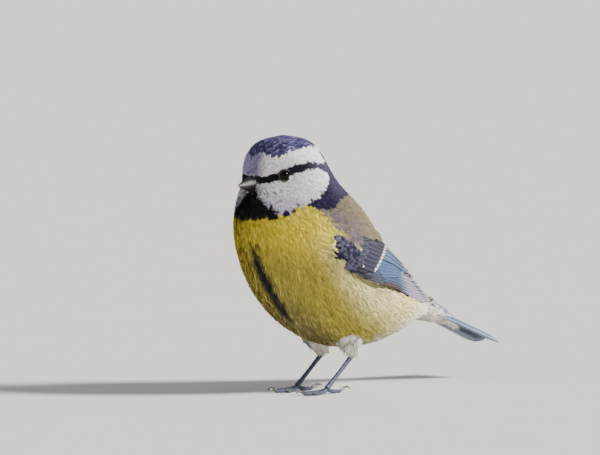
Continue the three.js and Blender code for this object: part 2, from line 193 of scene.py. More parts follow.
@dataclass
class BodyForm:
    """The outer form of the body from crown to tail coverts."""

    face_spread: float = 0.45
    # front y, front z, back y, back z, half width, share of the head's turn, face, egg
    sections: Array = field(
        default_factory=lambda: np.array(
            [
                [-13.0, 85.0, -12.8, 85.0, 0.2, 1, 0, 0],
                [-20.2, 83.0, -5.4, 83.6, 8.0, 1, 0, 0],
                [-24.5, 79.3, -1.2, 80.2, 11.6, 1, -0.3, -0.04],
                [-26.5, 74.6, 1.2, 76.2, 13.3, 1, -1.2, -0.08],
                [-27.5, 69.5, 4.2, 71.4, 14.0, 1, -3.5, -0.1],
                [-29.2, 64.8, 8.0, 67.2, 14.8, 0.95, -2.6, -0.08],
                [-29.9, 60.2, 12.6, 63.2, 15.9, 0.7, -0.8, -0.04],
                [-30.0, 54.8, 18.0, 58.4, 17.8, 0.3, 0, 0.02],
                [-28.6, 48.2, 23.0, 52.8, 19.2, 0.1, 0, 0.06],
                [-25.2, 40.4, 27.4, 46.8, 20.0, 0, 0, 0.08],
                [-19.4, 31.8, 32.0, 40.6, 20.0, 0, 0, 0.1],
                [-10.0, 22.8, 36.6, 35.6, 19.0, 0, 0, 0.1],
                [2.5, 16.4, 41.4, 32.2, 16.6, 0, 0, 0.1],
                [15.5, 14.4, 45.6, 30.0, 13.2, 0, 0, 0.1],
                [28.5, 17.2, 49.4, 28.6, 9.4, 0, 0, 0.05],
                [40.0, 21.2, 53.5, 27.4, 6.0, 0, 0, 0],
                [52.5, 20.6, 59.5, 24.4, 4.2, 0, 0, 0],
                [64.0, 18.4, 65.5, 20.2, 2.2, 0, 0, 0],
                [67.5, 17.6, 67.6, 17.8, 0.2, 0, 0, 0],
            ]
        )
    )

    def turn(self, t: Array) -> Array:
        """The share of the head's turn at t."""
        return through(self.sections, t)[:, 5]

    def point(self, angle: Array, t: Array, grow: Array | float = 0.0) -> Array:
        """A point of the form.

        Args:
            angle: Radians from the back round by the left.
            t: From the crown, 0, to the tail coverts, 1.
            grow: Millimetres out from the form.

        Returns:
            Points in millimetres from the feet.
        """
        front_y, front_z, back_y, back_z, half, turn, face, egg = through(self.sections, t).T
        reach = np.hypot(back_y - front_y, back_z - front_z) / 2
        swell = np.maximum((reach + grow) / reach, 0.02)
        back = np.cos(angle) * swell
        x = np.maximum(half + grow, 0.02) * np.sin(angle) * (1 - egg * np.cos(angle))
        bump = face * bell(np.mod(angle, TURN) - math.pi, self.face_spread)
        y = (front_y + back_y) / 2 + (back_y - front_y) / 2 * back - bump
        z = (front_z + back_z) / 2 + (back_z - front_z) / 2 * back
        return turned(np.stack([x, y, z], -1), turn)


@dataclass
class WingForm:
    """The sheet that the folded left wing lies on, u from bend to tip and v from lower to upper edge."""

    bulge: float = 1.8
    out: tuple[float, float, float] = (0.82, -0.1, 0.5)
    lower: Array = field(
        default_factory=lambda: np.array(
            [
                [19.0, -9.0, 45.6],
                [19.4, -1.0, 40.6],
                [19.0, 8.8, 37.0],
                [16.0, 19.8, 34.4],
                [11.9, 29.9, 31.4],
                [8.5, 39.2, 28.5],
                [5.2, 48.2, 27.0],
            ]
        )
    )
    upper: Array = field(
        default_factory=lambda: np.array(
            [
                [18.3, -8.6, 52.0],
                [17.4, 0.2, 53.6],
                [14.5, 10.9, 51.4],
                [8.5, 23.9, 46.4],
                [5.1, 33.9, 40.4],
                [3.8, 42.3, 34.2],
                [2.7, 49.8, 28.9],
            ]
        )
    )

    def sheet(self, u: Array, v: Array) -> Array:
        """Points of the sheet itself.

        Args:
            u: Places along it.
            v: Places across it.

        Returns:
            Points in millimetres.
        """
        low, high = through(self.lower, u), through(self.upper, u)
        swell = self.bulge * np.sqrt(np.maximum(0, 1 - u)) * 4 * v * (1 - v)
        return low + (high - low) * v[:, None] + swell[:, None] * np.array(self.out)

    def normal(self, u: Array, v: Array) -> Array:
        """The sheet's outward direction.

        Args:
            u: Places along it.
            v: Places across it.

        Returns:
            Unit vectors.
        """
        step = 0.01
        along = self.sheet(u + step, v) - self.sheet(u - step, v)
        across = self.sheet(u, v + step) - self.sheet(u, v - step)
        return unit(np.cross(along, across))

    def point(self, u: Array, v: Array, height: Array | float) -> Array:
        """Points at a height over the sheet."""
        u, v = np.atleast_1d(u).astype(float), np.atleast_1d(v).astype(float)
        return self.sheet(u, v) + self.normal(u, v) * np.atleast_1d(height)[:, None]

    def chord(self, u: Array) -> Array:
        """The distance from lower to upper edge."""
        return np.linalg.norm(through(self.upper, u) - through(self.lower, u), axis=-1)

    def top(self, u: Array) -> Array:
        """How high the wing's own feathers stand over the sheet."""
        return read(((-0.1, -0.4), (0.0, 0.7), (0.16, 2.2), (0.36, 2.3), (0.7, 1.8), (1.0, 1.3)), u)


@dataclass
class TailForm:
    """The tail's own frame, along it, beside its middle and above it."""

    root: tuple[float, float] = (45.0, 28.4)
    slope: float = math.radians(22)

    def point(self, along: Array, side: Array, up: Array) -> Array:
        """Points of the tail's frame, in millimetres from the feet.

        Args:
            along: Places along it.
            side: Places across it.
            up: Places over it.

        Returns:
            Points in millimetres.
        """
        cos, sin = math.cos(self.slope), math.sin(self.slope)
        y, z = self.root[0] + along * cos + up * sin, self.root[1] - along * sin + up * cos
        return np.stack([side, y, z], -1)


class Hide:
    """A closed form sampled on a grid, which feathers are rooted in and lie along.

    Args:
        place: The form, from angle and t to millimetres.
        rows: Grid rows along t.
        columns: Grid columns round it.
    """

    def __init__(self, place: Place, rows: int, columns: int) -> None:
        """Samples the form on its grid."""
        lengthways, round_it = np.linspace(0, 1, rows + 1), np.linspace(0, TURN, columns + 1)
        t, angle = np.meshgrid(lengthways, round_it, indexing="ij")
        grid = place(angle.ravel(), t.ravel()).reshape(rows + 1, columns + 1, 3)
        middle_t, middle_angle = (t[:-1, :-1] + t[1:, 1:]) / 2, (angle[:-1, :-1] + angle[1:, 1:]) / 2
        along = (grid[1:, :-1] + grid[1:, 1:] - grid[:-1, :-1] - grid[:-1, 1:]) / 2
        across = (grid[:-1, 1:] + grid[1:, 1:] - grid[:-1, :-1] - grid[1:, :-1]) / 2
        self.points = ((grid[:-1, :-1] + grid[:-1, 1:] + grid[1:, :-1] + grid[1:, 1:]) / 4).reshape(-1, 3)
        self.area = np.linalg.norm(np.cross(along, across), axis=-1).ravel()
        normal = unit(np.cross(along, across)).reshape(-1, 3)
        core = grid[:-1].mean(1).repeat(columns, 0).reshape(-1, 3)
        outward = np.sign(np.einsum("ij,ij->i", normal, self.points - core).sum())
        self.normals = normal * outward
        self.flow = unit(along).reshape(-1, 3)
        self.t, self.angle = middle_t.ravel(), middle_angle.ravel()
        quads = grid_quads(rows + 1, columns + 1)
        self.tree = BVHTree.FromPolygons(grid.reshape(-1, 3).tolist(), quads.tolist())

    def nearest(self, points: Array) -> tuple[Array, Array]:
        """The nearest points of the form, and the index of the cell that each lies in."""
        found = [self.tree.find_nearest(Vector(p))[::2] for p in points]
        return np.array([tuple(place) for place, _ in found]), np.array([cell for _, cell in found])

    def patch(self, cells: Array) -> Array:
        """The place of each cell on the form's unwrap."""
        return np.stack([self.angle[cells] / TURN, self.t[cells]], -1)

    def walk(
        self,
        roots: Array,
        cells: Array,
        length: Array,
        sway: Array,
        flow: Array,
        stand: Callable[[float, Array, Array], tuple[Array, Array]],
    ) -> tuple[Array, Array]:
        """Lays a line of stations from each root along the form.

        Args:
            roots: Where the lines start.
            cells: The cell of each root.
            length: Their lengths.
            sway: How far each turns away from the flow.
            flow: Where a line heads in each cell.
            stand: From share of the length, points and outward directions to a station's own two.

        Returns:
            The stations, and their outward directions.
        """
        here, at, spine, up = roots, cells, [], []
        for station in range(STATIONS):
            normal, along = self.normals[at], flow[at]
            place, out = stand(station / (STATIONS - 1), here, normal)
            spine.append(place)
            up.append(out)
            along = unit(along + np.cross(normal, along) * sway[:, None])
            here, at = self.nearest(here + along * (length / (STATIONS - 1))[:, None])
        return np.stack(spine, 1), np.stack(up, 1)


class WingCover:
    """The outer surface of both folded wings, which body feathers lie over.

    Lengths are in millimetres, and the rest are places u along the wing or v across it.

    Args:
        form: The left wing's form.
        columns: Cells along the wing.
        strips: Cells across it.
    """

    near = 5.0
    beside = 0.35
    rim = 3.0
    margin = 0.06
    bend = 0.08
    front = 0.015
    tip = 0.98
    edge = 0.02
    free = 0.4
    rear = 0.45
    shoulder = (
        (-0.1, 0.97), (0.03, 0.9), (0.061, 0.807), (0.099, 0.666), (0.14, 0.546), (0.184, 0.46),
        (0.205, 0.62), (0.215, 0.755), (0.296, 0.79), (0.395, 0.863), (0.46, 1.1), (1.1, 1.1),
    )
    flank = (
        (-0.05, 0.5), (-0.03, 0.36), (0.03, 0.15), (0.07, 0.065), (0.13, 0.02), (0.3, 0.0), (1.1, 0.0),
    )

    def __init__(self, form: WingForm, columns: int = 60, strips: int = 24) -> None:
        """Samples both wings."""
        lengthways = np.linspace(-self.margin, 1.0, columns + 1)
        u, v = np.meshgrid(lengthways, np.linspace(-self.margin, 1 + self.margin, strips + 1), indexing="ij")
        top = form.point(u.ravel(), v.ravel(), form.top(u.ravel()))
        quads = grid_quads(columns + 1, strips + 1)[:, [0, 3, 2, 1]]
        both = np.concatenate([top, mirrored(top, -1)])
        faces = np.concatenate([quads, quads[:, ::-1] + len(top)])
        self.tree = BVHTree.FromPolygons(both.tolist(), faces.tolist())
        self.u = np.tile(((u[:-1, :-1] + u[1:, 1:]) / 2).ravel(), 2)
        self.v = np.tile(((v[:-1, :-1] + v[1:, 1:]) / 2).ravel(), 2)
        past_edge = (self.v < self.edge) | ((self.v > 1 - self.edge) & (self.u > self.free))
        self.beyond = (self.u > self.bend) & past_edge

    def find(self, points: Array) -> tuple[Array, Array, Array]:
        """The places (u, v) of the wings nearest to points, and how far they are from them.

        Args:
            points: Points in millimetres.

        Returns:
            u, v and the distances.
        """
        u, v, gaps = (np.full(len(points), value) for value in (-9.0, -9.0, 9.0))
        for row, point in enumerate(points):
            _, _, cell, gap = self.tree.find_nearest(Vector(point), self.near)
            if cell is not None:
                u[row], v[row], gaps[row] = self.u[cell], self.v[cell], gap
        return u, v, gaps

    def open_to(self, points: Array) -> Array:
        """Whether feathers of the body may lie over the wing at each point.

        They do so outside its outline, over its front edge, and where the shoulder's feathers hang over it,
        but keep clear of its upper edge towards the tail.

        Args:
            points: Points in millimetres.

        Returns:
            True where they may.
        """
        u, v, gap = self.find(points)
        above = (v > 1.0) & ((u < self.rear) | (gap > self.rim))
        outside = (u < self.front) | (u > self.tip) | (v < 0.0) | above
        return outside | (v > read(self.shoulder, u)) | (v < read(self.flank, u))

    def lift(self, points: Array, normals: Array, clear: float) -> tuple[Array, Array]:
        """Lifts points that would lie under a wing to its outer surface.

        Args:
            points: Points in millimetres.
            normals: Their outward directions.
            clear: The height that they keep over the wing.

        Returns:
            The lifted points and their outward directions.
        """
        points, normals = points.copy(), normals.copy()
        for row, point in enumerate(points):
            place, normal, cell, gap = self.tree.find_nearest(Vector(point), self.near)
            if place is None or self.beyond[cell]:
                continue
            height = (Vector(point) - place).dot(normal)
            if height < clear and gap - abs(height) < self.beside:
                points[row] = place + normal * clear
                normals[row] = unit(normals[row] + np.array(normal))
        return points, normals


# Colours of the plumage


@dataclass(frozen=True)
class Palette:
    """The plumage's colours."""

    crown: Array = dyed(78, 74, 118)
    crown_dark: Array = dyed(48, 45, 78)
    crown_pale: Array = dyed(122, 115, 156)
    # The white forehead as it looks in shade: painted shade.
    forehead_shade: Array = dyed(140, 132, 166)
    white: Array = dyed(250, 241, 246)
    cheek_shade: Array = dyed(206, 196, 216)
    black: Array = dyed(24, 21, 28)
    stripe: Array = dyed(34, 30, 42)
    stripe_end: Array = dyed(78, 68, 94)
    navy: Array = dyed(36, 34, 60)
    nape: Array = dyed(66, 58, 86)
    yellow: Array = dyed(214, 196, 64)
    yellow_dull: Array = dyed(184, 170, 74)
    cream: Array = dyed(234, 224, 164)
    # Painted shade: the pale underside darkened to olive brown.
    belly: Array = dyed(150, 136, 84)
    vent: Array = dyed(244, 238, 222)
    ventral: Array = dyed(36, 34, 46)
    mantle: Array = dyed(128, 119, 82)
    mantle_lilac: Array = dyed(120, 106, 116)
    rump: Array = dyed(160, 160, 146)
    tail_covert: Array = dyed(108, 120, 152)
    thigh: Array = dyed(240, 233, 224)


class Zone(Enum):
    """The parts that the coat is divided into."""

    CROWN = 0
    FACE = 1
    COLLAR = 2
    MANTLE = 3
    BREAST = 4
    BELLY = 5
    FLANK_LEFT = 6
    FLANK_RIGHT = 7
    TAIL_COVERTS = 8


@dataclass(frozen=True)
class Markings:
    """Where each colour of the plumage lies.

    A table of the head gives heights over the floor by degrees round from the bill to the nape, and one of
    the body gives degrees round from the back by how far down the body it is. A span is where a change starts
    and ends: down the body, up from the floor, or round from the bill on the head and from the back
    behind it.
    """

    palette: Palette = field(default_factory=Palette)
    cap: Table = (
        (0, 78.0), (9, 79.0), (17, 79.8), (28, 79.0), (38, 78.5), (47, 79.1), (57, 80.2), (70, 80.8),
        (85, 81.6), (106, 81.8), (125, 81.9), (180, 82.0),
    )
    band: Table = (
        (0, 71.5), (13, 72.2), (26, 73.4), (34, 74.9), (41, 75.6), (50, 75.9), (59, 75.6), (67, 75.7),
        (76, 76.5), (88, 77.2), (100, 77.6), (111, 78.2), (125, 80.2), (180, 81.2),
    )
    stripe: Table = (
        (0, 71.2), (13, 71.0), (25, 70.9), (33, 71.3), (40, 72.0), (49, 72.8), (59, 73.9), (67, 74.6),
        (75, 75.2), (87, 75.7), (100, 75.7), (114, 75.2), (130, 74.6), (180, 74.0),
    )
    stripe_half: Table = (
        (0, 1.3), (20, 1.15), (40, 1.2), (50, 1.6), (59, 1.6), (67, 1.3), (76, 1.2), (90, 1.1),
        (105, 1.1), (118, 1.5), (127, 2.6),
    )
    cheek_low: Table = (
        (8, 68.0), (18, 67.2), (22, 65.8), (26, 64.4), (31, 62.8), (36, 61.3), (41, 60.4), (47, 60.7),
        (55, 61.7), (65, 62.8), (78, 63.7), (88, 65.0), (99, 66.8), (110, 68.7), (118, 70.8), (125, 73.2),
    )
    collar: Table = (
        (0, 58.3), (11, 58.5), (21, 58.6), (31, 59.0), (40, 59.4), (52, 60.6), (64, 62.0), (78, 63.1),
        (87, 62.0), (97, 61.6), (106, 61.8), (114, 62.8), (123, 64.6), (140, 65.6), (180, 66.0),
    )
    border: Table = (
        (0.3, 93), (0.36, 92), (0.44, 92), (0.49, 82), (0.55, 62), (0.62, 48), (0.72, 42), (0.8, 46),
        (0.9, 56), (1.0, 66),
    )
    ventral: Table = ((0.412, 0.0), (0.445, 1.5), (0.5, 2.3), (0.57, 1.8), (0.615, 0.0))
    ventral_side: float = 2.0
    ventral_soft: Span = (0.9, 0.8)
    ventral_round: float = 120
    dull_down: Span = (0.40, 0.50)
    cream_round: Span = (92, 128)
    cream_down: Span = (0.38, 0.50)
    # Where the belly's painted shade lies.
    belly_shade_round: Span = (135, 165)
    belly_shade_down: Span = (0.50, 0.62)
    vent_down: Span = (0.66, 0.76)
    lilac_round: Span = (50, 90)
    rump_down: Span = (0.56, 0.68)
    tail_down: Span = (0.76, 0.86)
    border_soft: float = 3
    neck_down: float = 0.42
    nape_round: Span = (104, 130)
    nape_up: Span = (63, 69)
    nape_top: Span = (69, 73)
    nape_from: float = 60
    bib_round: float = 46
    bib_up: float = 70
    far_bib: tuple[float, float, float] = (2.6, 8, 41)
    chin_round: float = 9
    shade_up: Span = (61, 69)
    # Where the forehead's painted shade lies.
    forehead_shade_round: Span = (14, 32)
    forehead_shade_up: Span = (71, 73)
    cheek_back: float = 126
    fuzz: float = 0.55
    fuzz_round: Span = (52, 76)
    streak_round: float = 58
    streak_up: float = 68.5
    streak_chance: Span = (0.46, 0.007)
    stripe_ends: Span = (8, 127)
    stripe_fade: Span = (74, 104)
    stripe_black: Span = (40, 60)
    fleck_chance: Span = (0.22, 0.72)
    # Where the cap's painted shade fades out towards the back.
    crown_shade_round: Span = (10, 60)
    ragged: float = 2.0
    jitter: float = 0.16
    uneven: float = 0.07
    lower_down: float = 0.47
    belly_from: float = 140
    coverts_down: float = 0.70

    def round_head(self, straight: Array) -> Array:
        """Degrees round from the bill to the nape, the same on both sides."""
        return np.degrees(np.arctan2(np.abs(straight[:, 0]), NECK_Y - straight[:, 1]))

    def round_body(self, angle: Array) -> Array:
        """Degrees round from the middle of the back, the same on both sides."""
        return np.degrees(np.minimum(angle % TURN, TURN - angle % TURN))

    def body_colour(self, straight: Array, t: Array, side: Array, rough: Array, speck: Array) -> Array:
        """The colours from the collar back.

        Args:
            straight: Points in millimetres, before the head's turn.
            t: From crown to tail coverts.
            side: Degrees round from the back.
            rough: How far the edges stray at each feather.
            speck: Each feather's own number, from 0 to 1.

        Returns:
            Linear colours.
        """
        dyes = self.palette
        edge = side + rough * self.ragged
        flank = blend_to(dyes.yellow, dyes.yellow_dull, ramp(*self.dull_down, t))
        flank = blend_to(flank, dyes.cream, (1 - ramp(*self.cream_round, edge)) * ramp(*self.cream_down, t))
        # Painted shade: the underside darkened to olive brown.
        flank = blend_to(flank, dyes.belly, ramp(*self.belly_shade_round, side) * ramp(*self.belly_shade_down, t))
        flank = blend_to(flank, dyes.vent, ramp(*self.vent_down, t + rough * 0.01))
        middle = np.abs(straight[:, 0] - self.ventral_side + rough * 0.2)
        width = read(self.ventral, t)
        inside, outside = self.ventral_soft
        dark = 1 - ramp(width - inside, width + outside, middle)
        dark = dark * (side > self.ventral_round) * ramp(0.0, outside, width)
        flank = blend_to(flank, dyes.ventral, dark)

        lilac = np.clip(0.3 + 0.5 * (speck - 0.5) + ramp(*self.lilac_round, side) * 0.5, 0, 1)
        back = blend_to(dyes.mantle, dyes.mantle_lilac, lilac)
        back = blend_to(back, dyes.rump, ramp(*self.rump_down, t))
        back = blend_to(back, dyes.tail_covert, ramp(*self.tail_down, t))
        border = read(self.border, t)
        return blend_to(back, flank, ramp(border - self.border_soft, border + self.border_soft, edge))

    def head_colour(
        self, straight: Array, rough: Array, speck: Array, rng: np.random.Generator
    ) -> tuple[Array, Array]:
        """The colours of the head, laid over each other from the collar up.

        Args:
            straight: Points in millimetres, before the head's turn.
            rough: How far the edges stray at each feather.
            speck: Each feather's own number, from 0 to 1.
            rng: Gives the rest of the unevenness.

        Returns:
            Linear colours, and whether each point is above the collar's lower edge.
        """
        dyes, count = self.palette, len(speck)
        round_by = self.round_head(straight) + rough
        steep, start, most = self.far_bib
        far_by = np.maximum(np.minimum(round_by * steep + start, most), round_by)
        bib_by = np.where(straight[:, 0] < 0, far_by, round_by)
        z = straight[:, 2] + rng.normal(0, self.jitter, count)
        head = blend_to(dyes.navy, dyes.nape, ramp(*self.nape_round, round_by) * ramp(*self.nape_up, z))
        head = blend_to(head, dyes.nape, ramp(*self.nape_top, z) * (round_by > self.nape_from))
        head = blend_to(head, dyes.black, (round_by < self.bib_round) * (z < self.bib_up))

        white = blend_to(dyes.white, dyes.cheek_shade, (1 - ramp(*self.shade_up, z)) * 0.9)
        # Painted shade: the white forehead laid in lilac grey, as it looks in shade.
        forehead_shade_share = (1 - ramp(*self.forehead_shade_round, round_by)) * ramp(*self.forehead_shade_up, z)
        white = blend_to(white, dyes.forehead_shade, forehead_shade_share)
        fuzzy = z + rng.normal(0, self.fuzz, count) * (1 - ramp(*self.fuzz_round, round_by))
        in_cap = z > read(self.cap, round_by)
        in_band = z > read(self.band, round_by)
        in_white = (fuzzy > read(self.cheek_low, bib_by)) & ~in_cap & (bib_by > self.chin_round)
        in_white |= in_band & ~in_cap
        in_white &= (round_by < self.cheek_back) | in_band
        head = np.where(in_white[:, None], white, head)
        most, fading = self.streak_chance
        streaks = in_white & (round_by < self.streak_round) & (z < self.streak_up)
        streaks &= speck < most - fading * round_by
        streaked = blend_to(white, dyes.crown_dark, 0.35 + 0.4 * rng.random(count))
        head = np.where(streaks[:, None], streaked, head)

        line = np.abs(z - read(self.stripe, round_by))
        dark = blend_to(dyes.stripe, dyes.stripe_end, ramp(*self.stripe_fade, round_by))
        dark = blend_to(dark, dyes.black, 1 - ramp(*self.stripe_black, round_by))
        first, last = self.stripe_ends
        in_stripe = (line < read(self.stripe_half, round_by)) & (round_by < last) & (round_by > first)
        head = np.where(in_stripe[:, None], dark, head)

        pale, dark_from = self.fleck_chance
        flecks = np.where((speck < pale)[:, None], dyes.crown_pale, dyes.crown)
        flecks = np.where((speck > dark_from)[:, None], dyes.crown_dark, flecks)
        # Painted shade: the cap darker towards its front.
        flecks = blend_to(flecks, dyes.crown_dark, 0.35 * (1 - ramp(*self.crown_shade_round, round_by)))
        head = np.where(in_cap[:, None], flecks, head)
        return head, z > read(self.collar, round_by)

    def colour(self, straight: Array, angle: Array, t: Array, rng: np.random.Generator) -> Array:
        """The plumage's colour at points of the bird with its head straight.

        Args:
            straight: Points in millimetres, before the head's turn.
            angle: Radians round from the back.
            t: From crown to tail coverts.
            rng: Gives the unevenness of the edges and of each feather.

        Returns:
            Linear colours.
        """
        rough = rng.normal(0, 1, len(t))
        speck = rng.random(len(t))
        body = self.body_colour(straight, t, self.round_body(angle), rough, speck)
        head, on_head = self.head_colour(straight, rough, speck, rng)
        shown = np.where((on_head & (t < self.neck_down))[:, None], head, body)
        return shown * (1 + self.uneven * rng.normal(0, 1, len(t)))[:, None]

    def zone(self, straight: Array, angle: Array, t: Array) -> Array:
        """The part of the coat that each feather belongs to.

        Args:
            straight: Points in millimetres, before the head's turn.
            angle: Radians round from the back.
            t: From crown to tail coverts.

        Returns:
            The value of its Zone.
        """
        round_by, side = self.round_head(straight), self.round_body(angle)
        x, z = straight[:, 0], straight[:, 2]
        lower = (side >= read(self.border, t)) & (t > self.lower_down)
        beside = lower & (side <= self.belly_from)
        on_head = (z > read(self.collar, round_by)) & (t < self.neck_down)
        on_face = on_head & (z > read(self.cheek_low, round_by)) & (round_by < self.cheek_back)
        zone = np.full(len(t), Zone.BREAST.value)
        for part, where in (
            (Zone.MANTLE, side < read(self.border, t)),
            (Zone.BELLY, lower & (side > self.belly_from)),
            (Zone.FLANK_LEFT, beside & (x >= 0)),
            (Zone.FLANK_RIGHT, beside & (x < 0)),
            (Zone.TAIL_COVERTS, t > self.coverts_down),
            (Zone.COLLAR, on_head),
            (Zone.FACE, on_face),
            (Zone.CROWN, on_head & (z > read(self.band, round_by))),
        ):
            zone[where] = part.value
        return zone


# Materials


def new_group(name: str, **inputs: float) -> tuple:
    """A shader node group that turns numbers into a shade, round 1, and a height.

    Args:
        name: The group's name.
        inputs: Each input's default. A _ in its name stands for a space.

    Returns:
        The group, its input node and its output node.
    """
    group = bpy.data.node_groups.new(name, "ShaderNodeTree")
    for key, default in inputs.items():
        label = key.replace("_", " ")
        socket = group.interface.new_socket(label, in_out="INPUT", socket_type="NodeSocketFloat")
        socket.default_value = default
    for label in ("Shade", "Height"):
        group.interface.new_socket(label, in_out="OUTPUT", socket_type="NodeSocketFloat")
    return group, group.nodes.new("NodeGroupInput"), group.nodes.new("NodeGroupOutput")


def math_node(tree: bpy.types.ShaderNodeTree, kind: str, *values: object) -> bpy.types.NodeSocket:
    """The result of a Math node of that kind over sockets or numbers.

    Args:
        tree: The material's nodes.
        kind: The node's operation.
        values: Its inputs.

    Returns:
        Its output.
    """
    node = tree.nodes.new("ShaderNodeMath")
    node.operation = kind
    for slot, value in enumerate(values):
        if isinstance(value, bpy.types.NodeSocket):
            tree.links.new(value, node.inputs[slot])
        else:
            node.inputs[slot].default_value = value
    return node.outputs[0]


def shaded(
    tree: bpy.types.ShaderNodeTree,
    colour: bpy.types.NodeSocket,
    group: bpy.types.ShaderNodeTree,
    **values: float,
) -> tuple[bpy.types.NodeSocket, bpy.types.NodeSocket]:
    """Places an effect's group in a material and shades a colour with it.

    Args:
        tree: The material's nodes.
        colour: The colour.
        group: The effect.
        values: Its own values.

    Returns:
        The shaded colour and the effect's height.
    """
    effect = tree.nodes.new("ShaderNodeGroup")
    effect.node_tree = group
    for label, value in values.items():
        effect.inputs[label].default_value = value
    scale = tree.nodes.new("ShaderNodeVectorMath")
    scale.operation = "SCALE"
    tree.links.new(colour, scale.inputs[0])
    tree.links.new(effect.outputs["Shade"], scale.inputs["Scale"])
    return scale.outputs[0], effect.outputs["Height"]


def grain_group() -> bpy.types.ShaderNodeTree:
    """Fine grain on Object coordinates."""
    group, enter, leave = new_group("Fine grain", Scale=900.0, Amount=0.12)
    nodes, links = group.nodes, group.links
    place = nodes.new("ShaderNodeTexCoord")
    noise = nodes.new("ShaderNodeTexNoise")
    noise.inputs["Detail"].default_value = 3.0
    links.new(place.outputs["Object"], noise.inputs["Vector"])
    links.new(enter.outputs["Scale"], noise.inputs["Scale"])
    centred = math_node(group, "SUBTRACT", noise.outputs["Fac"], 0.5)
    shade = math_node(group, "MULTIPLY_ADD", centred, enter.outputs["Amount"], 1.0)
    links.new(shade, leave.inputs["Shade"])
    links.new(noise.outputs["Fac"], leave.inputs["Height"])
    return group


def barb_group() -> bpy.types.ShaderNodeTree:
    """The fine slanting lines of a vane's barbs, from the vane's own map in centimetres."""
    group, enter, leave = new_group("Barb lines", Each_millimetre=3.2, Slant=1.1, Amount=0.2)
    nodes, links = group.nodes, group.links
    place = nodes.new("ShaderNodeUVMap")
    place.uv_map = VANE_MAP
    apart = nodes.new("ShaderNodeSeparateXYZ")
    links.new(place.outputs["UV"], apart.inputs[0])
    aside = math_node(group, "ABSOLUTE", apart.outputs["X"])
    across = math_node(group, "MULTIPLY", aside, enter.outputs["Slant"])
    along = math_node(group, "SUBTRACT", apart.outputs["Y"], across)
    phase = math_node(group, "MULTIPLY", along, enter.outputs["Each millimetre"])
    wave = math_node(group, "SINE", math_node(group, "MULTIPLY", phase, TURN * 10))
    depth = math_node(group, "MULTIPLY", enter.outputs["Amount"], 0.5)
    links.new(math_node(group, "MULTIPLY_ADD", wave, depth, 1.0), leave.inputs["Shade"])
    links.new(wave, leave.inputs["Height"])
    return group


@dataclass(frozen=True)
class Finish:
    """A surface coloured by its piece's own tint, with fine grain and, on vanes, barb lines."""

    name: str
    roughness: float
    grain_scale: float = 900.0
    grain: float = 0.15
    relief: float = 0.02
    barbs: float = 0.0
    sheen: float = 0.0
    coat: float = 0.0
    specular: float = 0.35

    def build(self, groups: dict[str, bpy.types.ShaderNodeTree]) -> bpy.types.Material:
        """Makes the material.

        Args:
            groups: The shared node groups by name.

        Returns:
            The material.
        """
        material = bpy.data.materials.new(self.name)
        material.use_nodes = True
        tree = material.node_tree
        shader = tree.nodes["Principled BSDF"]
        for label, value in (
            ("Roughness", self.roughness),
            ("Sheen Weight", self.sheen),
            ("Sheen Roughness", 0.4),
            ("Coat Weight", self.coat),
            ("Coat Roughness", 0.05),
            ("Specular IOR Level", self.specular),
        ):
            shader.inputs[label].default_value = value
        tint = tree.nodes.new("ShaderNodeAttribute")
        tint.attribute_name = TINT
        values = {"Scale": self.grain_scale, "Amount": self.grain * 2}
        colour, height = shaded(tree, tint.outputs["Color"], groups["grain"], **values)
        if self.barbs:
            colour, height = shaded(tree, colour, groups["barbs"], Amount=self.barbs)
        tree.links.new(colour, shader.inputs["Base Color"])
        bump = tree.nodes.new("ShaderNodeBump")
        bump.inputs["Distance"].default_value = self.relief * MILLIMETRE
        tree.links.new(height, bump.inputs["Height"])
        tree.links.new(bump.outputs["Normal"], shader.inputs["Normal"])
        return material


class Wardrobe:
    """The finishes, made once and shared by the pieces."""

    def __init__(self) -> None:
        """Makes all the finishes."""
        made = {"grain": grain_group(), "barbs": barb_group()}
        finishes = {
            "plumage": Finish("Soft plumage", 0.85, 1400, 0.14, 0.02, sheen=0.05, specular=0.2),
            "skin": Finish("Down beneath the plumage", 0.95, 1800, 0.3, 0.15, sheen=0.1, specular=0.1),
            "vanes": Finish("Flight feather vanes", 0.55, 700, 0.1, 0.02, barbs=0.22, sheen=0.05),
            "horn": Finish("Bill horn", 0.3, 600, 0.12, 0.01, coat=0.15, specular=0.5),
            "claw": Finish("Claw horn", 0.28, 800, 0.15, 0.01, coat=0.2, specular=0.5),
            "scales": Finish("Leg scales", 0.5, 1500, 0.2, 0.03, specular=0.4),
            "eye": Finish("Wet eye", 0.08, 500, 0.1, 0.0, coat=0.15, specular=0.06),
            "lid": Finish("Lid skin", 0.6, 2500, 0.25, 0.03, specular=0.3),
            "floor": Finish("Pale floor", 0.9, 30, 0.01, 0.0, specular=0.1),
        }
        for name, finish in finishes.items():
            setattr(self, name, finish.build(made))


# Making meshes


